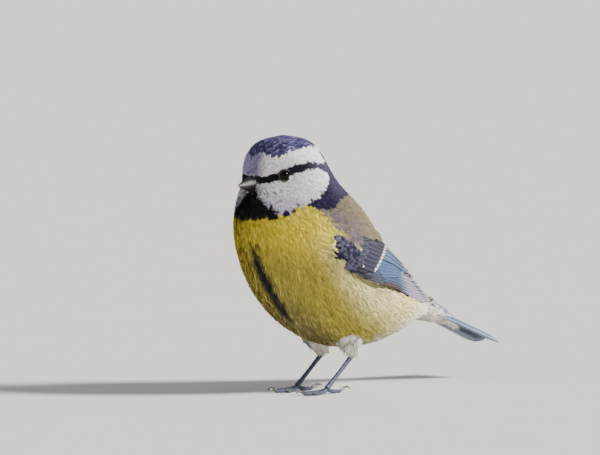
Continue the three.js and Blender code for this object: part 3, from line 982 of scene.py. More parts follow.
class Moulder:
    """Moulds closed forms, each from a wrapped grid, into one mesh."""

    def __init__(self) -> None:
        """Starts an empty mesh."""
        self.mesh = bmesh.new()
        self.tint = self.mesh.verts.layers.float_color.new(TINT)
        self.unwrap = self.mesh.loops.layers.uv.new(UNWRAP)

    def wrap(
        self,
        rows: int,
        columns: int,
        place: Place,
        paint: Paint,
        box: tuple[float, float, float, float] = (0.0, 0.0, 1.0, 1.0),
        poles: bool = True,
    ) -> None:
        """Adds a grid wrapped round into a form.

        Args:
            rows: Faces along it.
            columns: Faces round it.
            place: From angle and t to millimetres.
            paint: From points, angle and t to linear colours.
            box: Left, low, right and high of its place on the unwrap.
            poles: Whether each end closes to a point.
        """
        made = bmesh.ops.create_grid(self.mesh, x_segments=columns, y_segments=rows, size=0.5)["verts"]
        flat = np.array([tuple(vert.co)[:2] for vert in made]) + 0.5
        angle, t = flat[:, 0] * TURN, flat[:, 1]
        points = place(angle, t)
        for end in (0.0, 1.0) if poles else ():
            at_end = np.abs(t - end) < 1e-6
            points[at_end] = points[at_end].mean(0)
        colours = paint(points, angle, t)
        left, low, right, high = box
        for vert, point, colour, (across, along) in zip(made, in_frame(points), colours, flat):
            vert.co = point
            vert[self.tint] = (*np.clip(colour, 0, 1), 1.0)
            for loop in vert.link_loops:
                loop[self.unwrap].uv = (left + (right - left) * across, low + (high - low) * along)
        bmesh.ops.remove_doubles(self.mesh, verts=made, dist=1e-7)

    def piece(self, name: str, material: bpy.types.Material, slot: str) -> bpy.types.Object:
        """Closes the mesh and makes it a piece of the bird.

        Args:
            name: The piece's name.
            material: Its finish.
            slot: A slot name; not used.

        Returns:
            The piece.
        """
        bmesh.ops.dissolve_degenerate(self.mesh, edges=self.mesh.edges, dist=1e-9)
        bmesh.ops.recalc_face_normals(self.mesh, faces=self.mesh.faces)
        data = bpy.data.meshes.new(name)
        self.mesh.to_mesh(data)
        self.mesh.free()
        data.shade_smooth()
        return hang(name, data, material)


def hang(name: str, data: bpy.types.Mesh, material: bpy.types.Material) -> bpy.types.Object:
    """Makes a mesh a piece that rides on the bird, and reports it.

    Args:
        name: The piece's name.
        data: Its mesh, in place.
        material: Its finish.

    Returns:
        The piece.
    """
    data.materials.append(material)
    piece = bpy.data.objects.new(name, data)
    bpy.context.scene.collection.objects.link(piece)
    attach(piece, BODY)
    data.calc_loop_triangles()
    log.info("%s: %d triangles", name, len(data.loop_triangles))
    return piece


def array_mesh(name: str, points: Array, faces: Array, tint: Array, maps: dict[str, Array]) -> bpy.types.Mesh:
    """Joins many small things into one mesh.

    Args:
        name: The mesh's name.
        points: Millimetres from the feet.
        faces: Rows of three or four point indices.
        tint: A linear colour for each point.
        maps: UV maps by name, a place for each point.

    Returns:
        The mesh.
    """
    data = bpy.data.meshes.new(name)
    data.vertices.add(len(points))
    data.vertices.foreach_set("co", in_frame(points).astype(np.float32).ravel())
    sides = faces.shape[1]
    data.loops.add(faces.size)
    data.loops.foreach_set("vertex_index", faces.astype(np.int32).ravel())
    data.polygons.add(len(faces))
    data.polygons.foreach_set("loop_start", np.arange(0, faces.size, sides, dtype=np.int32))
    colours = np.concatenate([np.clip(tint, 0, 1), np.ones((len(tint), 1))], -1).astype(np.float32)
    data.color_attributes.new(TINT, "FLOAT_COLOR", "POINT").data.foreach_set("color", colours.ravel())
    for label, places in maps.items():
        corners = places[faces.ravel()].astype(np.float32)
        data.uv_layers.new(name=label).data.foreach_set("uv", corners.ravel())
    data.update(calc_edges=True)
    data.validate()
    data.shade_smooth()
    return data


# Small feathers


@dataclass(frozen=True)
class Cut:
    """How a kind of small feather is cut: a shaft with separate barbs on either side.

    Widths and lengths are shares of the feather's length.
    """

    barbs: int
    half: float
    start: float = 0.3
    sweep: float = 0.42
    loose: float = 0.5
    tilt: float = 0.5
    streak: float = 0.14
    dome: float = 0.16
    variants: int = 8

    def barb(self, number: int, side: int, rng: np.random.Generator) -> tuple[list[tuple[float, ...]], float]:
        """One barb, two points wide at its root and its middle and drawn out to a tip.

        Args:
            number: Its number up the shaft.
            side: -1 or 1, the side of the shaft that it is on.
            rng: Spreads the barbs.

        Returns:
            Its five points, and how light it is.
        """
        spacing = (1 - 0.5 * self.sweep - self.start) / self.barbs
        share = (number + 0.5 + rng.uniform(-0.3, 0.3)) / self.barbs
        y0 = self.start + (1 - 0.5 * self.sweep - self.start) * share
        reach = self.half * max(1 - share**2.4, 0.02) ** 0.75 + 0.02
        x1 = side * (reach * (1 + self.loose * rng.uniform(-0.25, 0.25)))
        y1 = y0 + self.sweep * (1 - 0.5 * share) * (1 + self.loose * rng.uniform(-0.2, 0.3))
        heading = np.array([x1, y1 - y0])
        heading /= np.linalg.norm(heading)
        normal = np.array([-heading[1], heading[0]]) * side
        wide = max(0.55 * spacing * abs(heading[0]), 0.26 * spacing)
        lift = self.loose * rng.normal(0, 0.014)
        tilt = rng.normal(self.tilt, 0.35) * side
        points = []
        bend = (x1 * 0.55, y0 + (y1 - y0) * 0.42, wide * 1.25, lift * 0.6)
        for x, y, half, raised in ((0.0, y0, wide, 0.0), bend):
            drop = self.dome * self.half * (x / self.half) ** 2
            for edge in (-half, half):
                points.append((x + normal[0] * edge, y + normal[1] * edge, raised - drop + tilt * edge))
        points.append((x1, y1, lift - self.dome * self.half * (x1 / self.half) ** 2))
        return points, rng.normal(0, 1)

    def templates(self, rng: np.random.Generator) -> tuple[Array, Array, Array]:
        """Cuts a few variants of the feather.

        Args:
            rng: Spreads the barbs.

        Returns:
            Points (variant, point, xyz), shades (variant, point) and the faces that all variants share.
        """
        blade = ((-0.3, 0.0), (0.3, 0.0), (-0.75, self.start + 0.16), (0.75, self.start + 0.16))
        all_points, all_shades, faces = [], [], []
        for _ in range(self.variants):
            points = [(x * self.half, y, -0.02) for x, y in blade]
            shades, faces = [-0.5] * len(blade), [(0, 1, 3), (0, 3, 2)]
            for side in (-1, 1):
                for number in range(self.barbs):
                    a, b, c, d, e = range(len(points), len(points) + 5)
                    barb, shade = self.barb(number, side, rng)
                    points += barb
                    shades += [shade] * len(barb)
                    made = [(a, c, d), (a, d, b), (c, e, d)]
                    faces += made if side < 0 else [face[::-1] for face in made]
            all_points.append(points)
            all_shades.append(shades)
        return np.array(all_points), np.array(all_shades), np.array(faces)


@dataclass
class Tract:
    """Feathers as arrays with a row for each: four stations from root to tip, and how each looks."""

    spine: Array
    up: Array
    length: Array
    colour: Array
    patch: Array
    zone: Array

    def part(self, chosen: Array) -> "Tract":
        """The feathers that are chosen."""
        return Tract(*(rows[chosen] for rows in vars(self).values()))

    def mesh(self, name: str, cut: Cut, rng: np.random.Generator, down: float = 0.6) -> bpy.types.Mesh:
        """Lays a cut feather along each spine.

        Args:
            name: The mesh's name.
            cut: How the feathers are cut.
            rng: Picks the variants and shades.
            down: How dark the hidden lower part of a feather is painted, as painted shade under the feathers
                over it.

        Returns:
            The joined mesh.
        """
        points, shades, faces = cut.templates(rng)
        count = len(self.length)
        pick = rng.integers(0, cut.variants, count)
        local, shade = points[pick], shades[pick]
        x, y, z = local[..., 0], np.clip(local[..., 1], 0, 1.12), local[..., 2]
        stations = np.linspace(0, 1, STATIONS)
        weights = np.ones((*y.shape, STATIONS))
        for k in range(STATIONS):
            for other in range(STATIONS):
                if other != k:
                    weights[..., k] *= (y - stations[other]) / (stations[k] - stations[other])
        along = np.gradient(self.spine, axis=1)
        side = unit(np.cross(along, self.up))
        wide = rng.normal(1, 0.08, count)[:, None]
        laid = np.einsum("nps,nsk->npk", weights, self.spine)
        laid += np.einsum("nps,nsk->npk", weights, side) * (x * self.length[:, None] * wide)[..., None]
        laid += np.einsum("nps,nsk->npk", weights, self.up) * (z * self.length[:, None])[..., None]
        # Painted shade: each feather darker towards its hidden root, where others overlie it; painted light:
        # a little lighter at its tip. The barbs' streaks are random tone.
        light = (down + (1 - down) * ramp(0.3, 0.62, y)) * (1 + cut.streak * shade)
        light = light * (1 + 0.08 * ramp(0.8, 1.0, y))
        tint = self.colour[:, None] * light[..., None]
        patch = self.patch[:, None] + PATCH * np.stack([x / (2 * cut.half), y - 0.5], -1)
        size = local.shape[1]
        joined = (faces[None] + np.arange(count)[:, None, None] * size).reshape(-1, 3)
        maps = {UNWRAP: patch.reshape(-1, 2)}
        return array_mesh(name, laid.reshape(-1, 3), joined, tint.reshape(-1, 3), maps)


def scatter(points: Array, spacing: Array, rng: np.random.Generator) -> Array:
    """Thins points so that each keeps its spacing from the others.

    Args:
        points: Candidates.
        spacing: The distance that each keeps.
        rng: Sets the order in which they are taken.

    Returns:
        The indices of the points that stay.
    """
    cell = float(spacing.max())
    held: dict[tuple[int, int, int], list[int]] = {}
    kept: list[int] = []
    keys = np.floor(points / cell).astype(int)
    near = [(i, j, k) for i in (-1, 0, 1) for j in (-1, 0, 1) for k in (-1, 0, 1)]
    for row in rng.permutation(len(points)):
        a, b, c = keys[row]
        others = [index for i, j, k in near for index in held.get((a + i, b + j, c + k), ())]
        if others:
            gaps = points[others] - points[row]
            if (np.einsum("ij,ij->i", gaps, gaps) < spacing[row] ** 2).any():
                continue
        held.setdefault((a, b, c), []).append(row)
        kept.append(row)
    return np.array(kept)


@dataclass
class BodyCoat:
    """The small feathers of head and body."""

    form: BodyForm
    wings: WingCover
    markings: Markings
    seed: int = 11
    candidates: int = 150000
    last: float = 0.94
    shrinks: tuple[float, ...] = (0.65, 0.6)
    bill: tuple[float, float, float] = (12.0, 0.0, 70.0)
    eye_clear: float = 2.5
    eye_behind: float = -1.5
    bill_tip: tuple[float, float, float] = (20.8, 0.0, 69.0)
    bill_clear: Table = ((12.0, 0.0), (12.5, 3.4), (16.0, 3.1), (19.0, 1.9), (21.5, 0.6))
    spread: float = 0.10
    tuck: float = 0.24
    clear: Span = (0.12, 0.3)
    droop: float = 1.3
    neck_down: Span = (0.26, 0.36)
    by_bill: Table = ((3, 0.55), (8, 0.72), (14, 1))
    by_eye: Table = ((2.2, 0.55), (4, 0.72), (7, 1))
    grid: tuple[int, int] = (200, 176)
    spacing: Table = (
        (0.0, 0.62), (0.12, 0.58), (0.2, 0.5), (0.28, 0.52), (0.36, 0.72), (0.45, 0.88), (0.6, 0.98),
        (0.8, 0.98), (1.0, 0.9),
    )
    ratio: Table = ((0.0, 4.6), (0.2, 5.0), (0.3, 6.2), (0.4, 7.6), (0.6, 8.4), (0.8, 8.6), (1.0, 6.6))
    depth: Table = ((0.0, 0.55), (0.2, 0.45), (0.3, 0.7), (0.45, 1.3), (0.8, 1.2), (1.0, 0.5))

    def __post_init__(self) -> None:
        """Prepares what the feathers need."""
        self.hide = Hide(self.form.point, *self.grid)

    def lie(self) -> Array:
        """The direction in which the feathers of each cell lie."""
        hide = self.hide
        bill = in_head(*self.bill)
        straight = turned(hide.points, -self.form.turn(hide.t))
        round_by = self.markings.round_head(straight)
        away = unit(hide.points - bill)
        away[:, 2] -= self.droop * ramp(60, 140, round_by)
        away -= hide.normals * np.einsum("ij,ij->i", away, hide.normals)[:, None]
        share = ramp(*self.neck_down, hide.t)[:, None]
        return unit(unit(away) * (1 - share) + hide.flow * share)

    def fineness(self, points: Array, t: Array) -> Array:
        """How far apart the feathers are rooted.

        Args:
            points: Points in millimetres.
            t: From crown to tail coverts.

        Returns:
            Millimetres between roots.
        """
        to_bill = np.linalg.norm(points - in_head(*self.bill), axis=1)
        to_eye = np.min([np.linalg.norm(points - eye_axis(side)[0], axis=1) for side in (1, -1)], axis=0)
        return read(self.spacing, t) * np.minimum(read(self.by_bill, to_bill), read(self.by_eye, to_eye))

    def lay(self, roots: Array, cells: Array, length: Array, sway: Array, lift: Array) -> tuple[Array, Array]:
        """Lays feathers along the body and over the wings.

        Args:
            roots: Where they are rooted.
            cells: The cell of each root.
            length: Their lengths.
            sway: How far each turns from the lie.
            lift: How high each tip stands.

        Returns:
            Their spines and outward directions, four stations each.
        """
        depth = np.minimum(read(self.depth, self.hide.t[cells]), length * self.tuck)
        low, rising = self.clear

        def stand(share: float, points: Array, normals: Array) -> tuple[Array, Array]:
            """Rises from the hidden root to the tip, over a wing where there is one."""
            height = -depth * (1 - share) + lift * share
            return self.wings.lift(points + normals * height[:, None], normals, low + rising * share)

        return self.hide.walk(roots, cells, length, sway, self.lie(), stand)

    def blocked(self, spine: Array) -> Array:
        """Whether each feather would cross an eye, the bill or the bare part of a wing.

        Args:
            spine: Stations along each feather.

        Returns:
            One answer for each feather.
        """
        crosses = np.zeros(len(spine), bool)
        axis = unit(in_head(*self.bill_tip) - in_head(*self.bill))
        for side in (1, -1):
            eye, away = eye_axis(side)
            gap = spine - eye
            out = gap @ away
            beside = np.linalg.norm(gap - out[..., None] * away, axis=-1)
            crosses |= ((beside < self.eye_clear) & (out > self.eye_behind)).any(1)
        gap = spine - in_head(*self.bill)
        ahead = gap @ axis
        beside = np.linalg.norm(gap - ahead[..., None] * axis, axis=-1)
        crosses |= (beside < read(self.bill_clear, ahead + self.bill[0])).any(1)
        for station in (0, 2, 3):
            crosses |= ~self.wings.open_to(spine[:, station])
        return crosses

    def tract(self) -> Tract:
        """Roots the feathers and lays them."""
        rng = np.random.default_rng(self.seed)
        hide = self.hide
        near = self.fineness(hide.points, hide.t)
        chance = hide.area / near**2
        cells = rng.choice(len(chance), self.candidates, p=chance / chance.sum())
        jitter = rng.normal(0, 0.25, (self.candidates, 3))
        roots, cells = hide.nearest(hide.points[cells] + jitter)
        kept = scatter(roots, near[cells], rng)
        kept = kept[hide.t[cells[kept]] < self.last]
        roots, cells = roots[kept], cells[kept]

        count = len(roots)
        length = near[cells] * read(self.ratio, hide.t[cells]) * rng.normal(1, 0.07, count)
        sway = rng.normal(0, self.spread, count)
        lift = rng.normal(0.08, 0.05, count) + 0.012 * length
        spine, up = self.lay(roots, cells, length, sway, lift)
        over = self.blocked(spine)
        for shrink in self.shrinks:
            length[over] *= shrink
            lift[over] *= 0.5
            spine[over], up[over] = self.lay(roots[over], cells[over], length[over], sway[over], lift[over])
            over[over] = self.blocked(spine[over])
        free = ~over
        spine, up, length, cells = spine[free], up[free], length[free], cells[free]
        shown, shown_at = hide.nearest(spine[:, 2])
        t, angle = hide.t[shown_at], hide.angle[shown_at]
        straight = turned(shown, -self.form.turn(t))
        colour = self.markings.colour(straight, angle, t, rng)
        zone = self.markings.zone(straight, angle, t)
        return Tract(spine, up, length, colour, hide.patch(cells), zone)

    def build(self, wardrobe: Wardrobe) -> None:
        """Makes the coat's pieces.

        Args:
            wardrobe: The finishes.
        """
        rng = np.random.default_rng(self.seed + 1)
        tract = self.tract()
        fine = Cut(barbs=6, half=0.17, start=0.26, sweep=0.5, loose=0.8, streak=0.12)
        soft = Cut(barbs=9, half=0.17, start=0.3, sweep=0.44, loose=0.9)
        loose = Cut(barbs=11, half=0.17, start=0.26, sweep=0.48, loose=1.5, streak=0.18)
        for zone in Zone:
            cut, slot = loose, "plumage_yellow"
            if zone in (Zone.CROWN, Zone.FACE, Zone.COLLAR):
                cut, slot = fine, "plumage_blue"
            elif zone in (Zone.MANTLE, Zone.BREAST):
                cut = soft
            elif zone is Zone.TAIL_COVERTS:
                slot = "plumage_pale"
            name = "coat_" + zone.name.lower()
            part = tract.part(tract.zone == zone.value)
            hang(name, part.mesh(name, cut, rng), wardrobe.plumage)


# Skin


@dataclass
class Skin:
    """One skin under the plumage, from crown to tail coverts with both thighs."""

    form: BodyForm
    markings: Markings
    coat: BodyCoat
    wing: WingForm
    under_wing: float = 0.7
    wing_grid: tuple[int, int] = (50, 16)
    wing_heights: Span = (24, 56)
    near_wing: float = 1.2
    deepest: float = 8
    rows: int = 150
    columns: int = 120

    def place(self, angle: Array, t: Array) -> Array:
        """The skin's surface, pressed in under the wings.

        Args:
            angle: Radians round it.
            t: The share of its length.

        Returns:
            Points in millimetres.
        """
        points = self.form.point(angle, t, -read(self.coat.depth, t))
        along, across = self.wing_grid
        u, v = np.meshgrid(np.linspace(0, 0.99, along), np.linspace(0, 1, across), indexing="ij")
        sheet = self.wing.point(u.ravel(), v.ravel(), -self.under_wing)
        outward = self.wing.normal(u.ravel(), v.ravel())
        low, high = self.wing_heights
        for side in (1, -1):
            under, directions = mirrored(sheet, side), mirrored(outward, side)
            near = np.where((points[:, 0] * side > 0) & (points[:, 2] < high) & (points[:, 2] > low))[0]
            gaps = np.linalg.norm(points[near][:, None] - under[None], axis=-1)
            nearest = gaps.argmin(1)
            over = np.einsum("ij,ij->i", points[near] - under[nearest], directions[nearest])
            beside = np.sqrt(np.maximum(gaps.min(1) ** 2 - over**2, 0))
            press = (over > 0) & (beside < self.near_wing) & (over < self.deepest)
            points[near[press]] -= directions[nearest[press]] * over[press][:, None]
        return points

    def paint(self, points: Array, angle: Array, t: Array) -> Array:
        """The skin carries the coat's markings, a little darker."""
        straight = turned(points, -self.form.turn(t))
        return self.markings.colour(straight, angle, t, np.random.default_rng(5)) * 0.7

    def build(self, wardrobe: Wardrobe, thighs: list["Thigh"]) -> bpy.types.Object:
        """Makes the skin in place of the solids of the flesh.

        Args:
            wardrobe: The finishes.
            thighs: Both thighs.

        Returns:
            The skin.
        """
        moulder = Moulder()
        moulder.wrap(self.rows, self.columns, self.place, self.paint, (0.0, 0.0, 1.0, 0.86))
        for index, thigh in enumerate(thighs):
            box = (0.5 * index, 0.88, 0.5 * index + 0.48, 1.0)
            moulder.wrap(24, 24, thigh.skin, thigh.paint, box)
        piece = moulder.piece("skin", wardrobe.skin, "plumage_yellow")
        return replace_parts(piece, "head", "neck", "torso", "thigh_left", "thigh_right")


@dataclass
class Thigh:
    """The feathered part of a leg."""

    side: int
    palette: Palette
    depth: float = 0.7
    out: float = 1.5
    ankle: tuple[float, float, float] = (7.0, 11.6, 12.3)
    radii: tuple[float, ...] = (5.4, 5.2, 4.4, 3.2, 2.2, 1.35)
    candidates: int = 3000
    spacing: float = 0.8
    length: float = 5.2
    first: float = 0.12

    def place(self, angle: Array, t: Array, grow: float = 0.0) -> Array:
        """The thigh's surface from inside the body down to the ankle.

        Args:
            angle: Radians round it.
            t: The share of its length.
            grow: Millimetres outside it.

        Returns:
            Points in millimetres.
        """
        x, y, z = self.ankle
        top, low = np.array([x + self.out, y - 4.5, z + 9.0]), np.array([x, y + 0.1, z - 0.6])
        axis = unit(low - top)
        across = unit(np.cross(axis, [0, 0, 1]))
        front = np.cross(across, axis)
        radius = np.maximum(through(np.array(self.radii)[:, None], t)[:, 0] + grow, 0.9)
        middle = top + (low - top) * t[:, None]
        ring = across * np.cos(angle)[:, None] + front * np.sin(angle)[:, None]
        return mirrored(middle + ring * radius[:, None], self.side)

    def skin(self, angle: Array, t: Array) -> Array:
        """The skin under the thigh's feathers."""
        return self.place(angle, t, -self.depth)

    def paint(self, points: Array, angle: Array, t: Array) -> Array:
        """Whitish, a little darker than the thigh's feathers, the same all along."""
        return coats(self.palette.thigh * 0.75, t)

    def build(self, wardrobe: Wardrobe) -> None:
        """Feathers the thigh.

        Args:
            wardrobe: The finishes.
        """
        rng = np.random.default_rng(40 + self.side)
        hide = Hide(self.place, 40, 40)
        cells = rng.choice(len(hide.area), self.candidates, p=hide.area / hide.area.sum())
        roots, cells = hide.nearest(hide.points[cells] + rng.normal(0, 0.1, (self.candidates, 3)))
        kept = scatter(roots, np.full(len(roots), self.spacing), rng)
        kept = kept[hide.t[cells[kept]] > self.first]
        roots, cells = roots[kept], cells[kept]
        count = len(roots)
        length = self.length * (1 - 0.5 * hide.t[cells]) * rng.normal(1, 0.2, count)
        sway = rng.normal(0, 0.2, count)
        lift = np.abs(rng.normal(0.5, 0.3, count))[:, None]

        def stand(share: float, points: Array, normals: Array) -> tuple[Array, Array]:
            """Rises more and more towards the loose tip."""
            return points + normals * (-self.depth * (1 - share) + lift * share**2), normals

        spine, up = hide.walk(roots, cells, length, sway, hide.flow, stand)
        colour = self.palette.thigh * (0.92 + 0.12 * rng.normal(0, 1, (count, 1)))
        tract = Tract(spine, up, length, colour, hide.patch(cells), np.zeros(count))
        name = "coat_thigh_" + side_name(self.side)
        # The thigh's feathers get a deeper painted shade at their roots.
        mesh = tract.mesh(name, Cut(barbs=8, half=0.12, loose=2.2, streak=0.22), rng, 0.4)
        hang(name, mesh, wardrobe.plumage)


# Flight feathers


@dataclass(frozen=True)
class Shape:
    """A large feather's outline: its share of the width from root to tip, and how fine it is made."""

    outline: tuple[tuple[float, float], ...]
    rows: int = 22

    def width(self, along: Array) -> Array:
        """The share of the width at each place along the feather."""
        return read(self.outline, along)


LONG = Shape(
    ((0, 0.75), (0.3, 0.95), (0.6, 1.0), (0.8, 0.86), (0.9, 0.68), (0.96, 0.46), (0.99, 0.24), (1.0, 0.04)),
    30,
)
SHORT = Shape(((0, 0.8), (0.4, 1.0), (0.7, 1.0), (0.85, 0.86), (0.93, 0.66), (0.98, 0.4), (1.0, 0.05)), 18)
BROAD = Shape(((0, 0.8), (0.5, 1.0), (0.85, 0.98), (0.93, 0.86), (0.97, 0.66), (0.99, 0.44), (1.0, 0.2)), 30)
ACROSS = np.array([-1, -0.93, -0.8, -0.55, -0.25, -0.08, 0, 0.08, 0.25, 0.55, 0.85, 1])


@dataclass(frozen=True)
class Row:
    """A row of a wing's feathers. Root and tip give the places (u, v) of the first and last feather."""

    name: str
    count: int
    width: float
    roots: tuple[tuple[float, float], tuple[float, float]]
    tips: tuple[tuple[float, float], tuple[float, float]]
    heights: tuple[float, float]
    shape: Shape
    curve: float = 1.0
    bow: float = 1.5

    def ends(self) -> tuple[Array, Array]:
        """The roots and tips of all its feathers, as rows of (u, v)."""
        share = np.linspace(0, 1, self.count)
        root = np.array(self.roots[0]) + (np.array(self.roots[1]) - self.roots[0]) * share[:, None]
        first, last = np.array(self.tips)
        reach = np.stack([1 - (1 - share) ** self.curve, share], -1)
        return root, first + (last - first) * reach


WING_ROWS = (
    Row(
        "primaries", 8, 3.3, ((0.40, 0.38), (0.40, 0.03)),
        ((0.80, 0.93), (1.0, 0.21)), (0.9, 1.0), LONG, 1.5
    ),
    Row("secondaries", 6, 3.6, ((0.30, 0.18), (0.30, 0.54)), ((0.64, 0.48), (0.74, 0.88)), (1.05, 1.3), LONG),
    Row("tertials", 3, 5.2, ((0.30, 0.60), (0.30, 0.9)), ((0.78, 0.84), (0.68, 0.965)), (1.35, 1.65), LONG),
    Row(
        "primary_coverts", 5, 2.2, ((0.24, 0.03), (0.24, 0.19)),
        ((0.42, 0.03), (0.37, 0.19)), (1.1, 1.6), SHORT
    ),
    Row("alula", 3, 2.4, ((0.08, 0.10), (0.08, 0.24)), ((0.30, 0.06), (0.23, 0.2)), (1.0, 1.8), SHORT),
    Row(
        "greater_coverts", 9, 3.2, ((0.18, 0.25), (0.30, 0.97)),
        ((0.335, 0.25), (0.49, 0.97)), (1.3, 2.0), SHORT
    ),
    Row(
        "median_coverts", 7, 3.4, ((0.05, 0.24), (0.12, 0.98)),
        ((0.22, 0.28), (0.33, 0.98)), (1.0, 2.2), SHORT
    ),
)


@dataclass(frozen=True)
class FlightDyes:
    """Colours of the large feathers."""

    blue: Array = dyed(58, 86, 126)
    blue_pale: Array = dyed(108, 134, 164)
    slate: Array = dyed(40, 42, 62)
    navy: Array = dyed(24, 26, 42)
    dusky: Array = dyed(50, 46, 58)
    brown: Array = dyed(76, 58, 54)
    lilac: Array = dyed(146, 132, 152)
    pale: Array = dyed(206, 198, 210)
    white: Array = dyed(250, 244, 250)
    tertial: Array = dyed(98, 114, 136)
    covert: Array = dyed(44, 46, 64)
    covert_edge: Array = dyed(102, 99, 124)
    green_grey: Array = dyed(66, 68, 72)
    shaft: Array = dyed(32, 28, 36)

    def pattern(self, row: str, x: Array, y: Array, share: Array) -> Array:
        """The colour over the feathers of a row.

        Args:
            row: The row's name.
            x: From the lower edge, -1, to the upper edge, 1.
            y: From root to tip.
            share: From the row's first feather, 0, to its last, 1.

        Returns:
            Linear colours.
        """
        base = np.ones((*x.shape, 3))
        outer = 1 - ramp(-0.95, -0.78, x)
        inner = ramp(-0.3, 0.1, x)
        tip = ramp(0.9, 0.99, y)
        if row == "primaries":
            web = blend_to(base * self.blue, self.lilac, ramp(0.42, 0.62, y))
            web = blend_to(web, self.brown, (1 - ramp(0.25, 0.5, y)) * ramp(0.55, 0.9, share))
            colour = blend_to(web, self.dusky, inner * (0.25 + 0.5 * (1 - ramp(0.6, 0.9, y))))
            return blend_to(colour, self.pale, np.maximum(outer * 0.8 * ramp(0.3, 0.5, y), tip * 0.5))
        if row == "secondaries":
            colour = blend_to(blend_to(base * self.blue, self.blue_pale, outer * 0.6), self.navy, inner)
            return blend_to(colour, self.pale, tip * 0.5)
        if row == "tertials":
            colour = blend_to(base * self.tertial, self.blue, (1 - ramp(-0.9, 0.2, x)) * 0.5)
            return blend_to(colour, self.white, ramp(0.86, 0.98, y) * 0.7)
        if row == "greater_coverts":
            colour = blend_to(base * self.slate, self.covert_edge, outer * 0.4)
            colour = blend_to(colour, self.navy, inner * 0.5)
            return blend_to(colour, self.white, ramp(0.80, 0.86, y + 0.04 * np.abs(x)))
        if row == "median_coverts":
            shade = ramp(-0.1, 0.3, x) * 0.35 * (1 - ramp(0.6, 0.9, y))
            colour = blend_to(base * self.covert, self.navy, shade)
            return blend_to(colour, self.covert_edge, np.maximum(outer, ramp(0.82, 0.96, y)) * 0.6)
        if row == "alula":
            colour = blend_to(base * self.navy, self.covert, outer * 0.7)
            return blend_to(colour, self.white, ramp(0.9, 0.95, y) * (share > 0.7))
        colour = blend_to(base * self.green_grey, self.blue, outer * 0.4 + 0.2 * share)
        return blend_to(colour, self.navy, inner * 0.6)


def leaf_faces(rows: int, columns: int) -> Array:
    """Quads of a thin closed leaf with its upper points first and its lower ones after them.

    Args:
        rows: Points along it.
        columns: Points across it.

    Returns:
        Rows of four point indices.
    """
    under = rows * columns
    top = grid_quads(rows, columns)
    rim = np.concatenate(
        [
            np.arange(columns),
            np.arange(1, rows) * columns + columns - 1,
            np.arange(columns - 2, -1, -1) + (rows - 1) * columns,
            np.arange(rows - 2, 0, -1) * columns,
        ]
    )
    after = np.roll(rim, -1)
    return np.concatenate([top, top[:, ::-1] + under, np.stack([after, rim, rim + under, after + under], -1)])


def leaves_mesh(name: str, tops: Array, lows: Array, tint: Array, vane: Array, side: int) -> bpy.types.Mesh:
    """Joins closed leaves into one mesh, each with a column of the unwrap to itself.

    Args:
        name: The mesh's name.
        tops: Upper points (leaf, row, column, xyz).
        lows: Lower points, laid out alike.
        tint: Colours (leaf, row, column, rgb).
        vane: Places across and along each vane in millimetres (leaf, row, column, 2).
        side: 1 for the left of the bird, -1 to mirror them to the right.

    Returns:
        The mesh.
    """
    count, rows, columns = tops.shape[:3]
    faces = leaf_faces(rows, columns)
    points = mirrored(np.concatenate([tops.reshape(count, -1, 3), lows.reshape(count, -1, 3)], 1), side)
    if side < 0:
        faces = faces[:, ::-1]
    colours = np.concatenate([tint.reshape(count, -1, 3), tint.reshape(count, -1, 3) * 0.7], 1)
    ways = np.tile(vane.reshape(count, -1, 2) * 0.1, (1, 2, 1))
    across, along = np.meshgrid(np.linspace(0.04, 0.46, columns), np.linspace(0.01, 0.99, rows))
    upper = np.stack([across, along], -1).reshape(-1, 2)
    strip = np.concatenate([upper, upper + np.array([0.5, 0])])
    column = (strip[None, :, 0] + np.arange(count)[:, None]) / count
    unwrap = np.stack([column, np.tile(strip[:, 1], (count, 1))], -1)
    size = points.shape[1]
    joined = (faces[None] + np.arange(count)[:, None, None] * size).reshape(-1, 4)
    maps = {UNWRAP: unwrap.reshape(-1, 2), VANE_MAP: ways.reshape(-1, 2)}
    return array_mesh(name, points.reshape(-1, 3), joined, colours.reshape(-1, 3), maps)


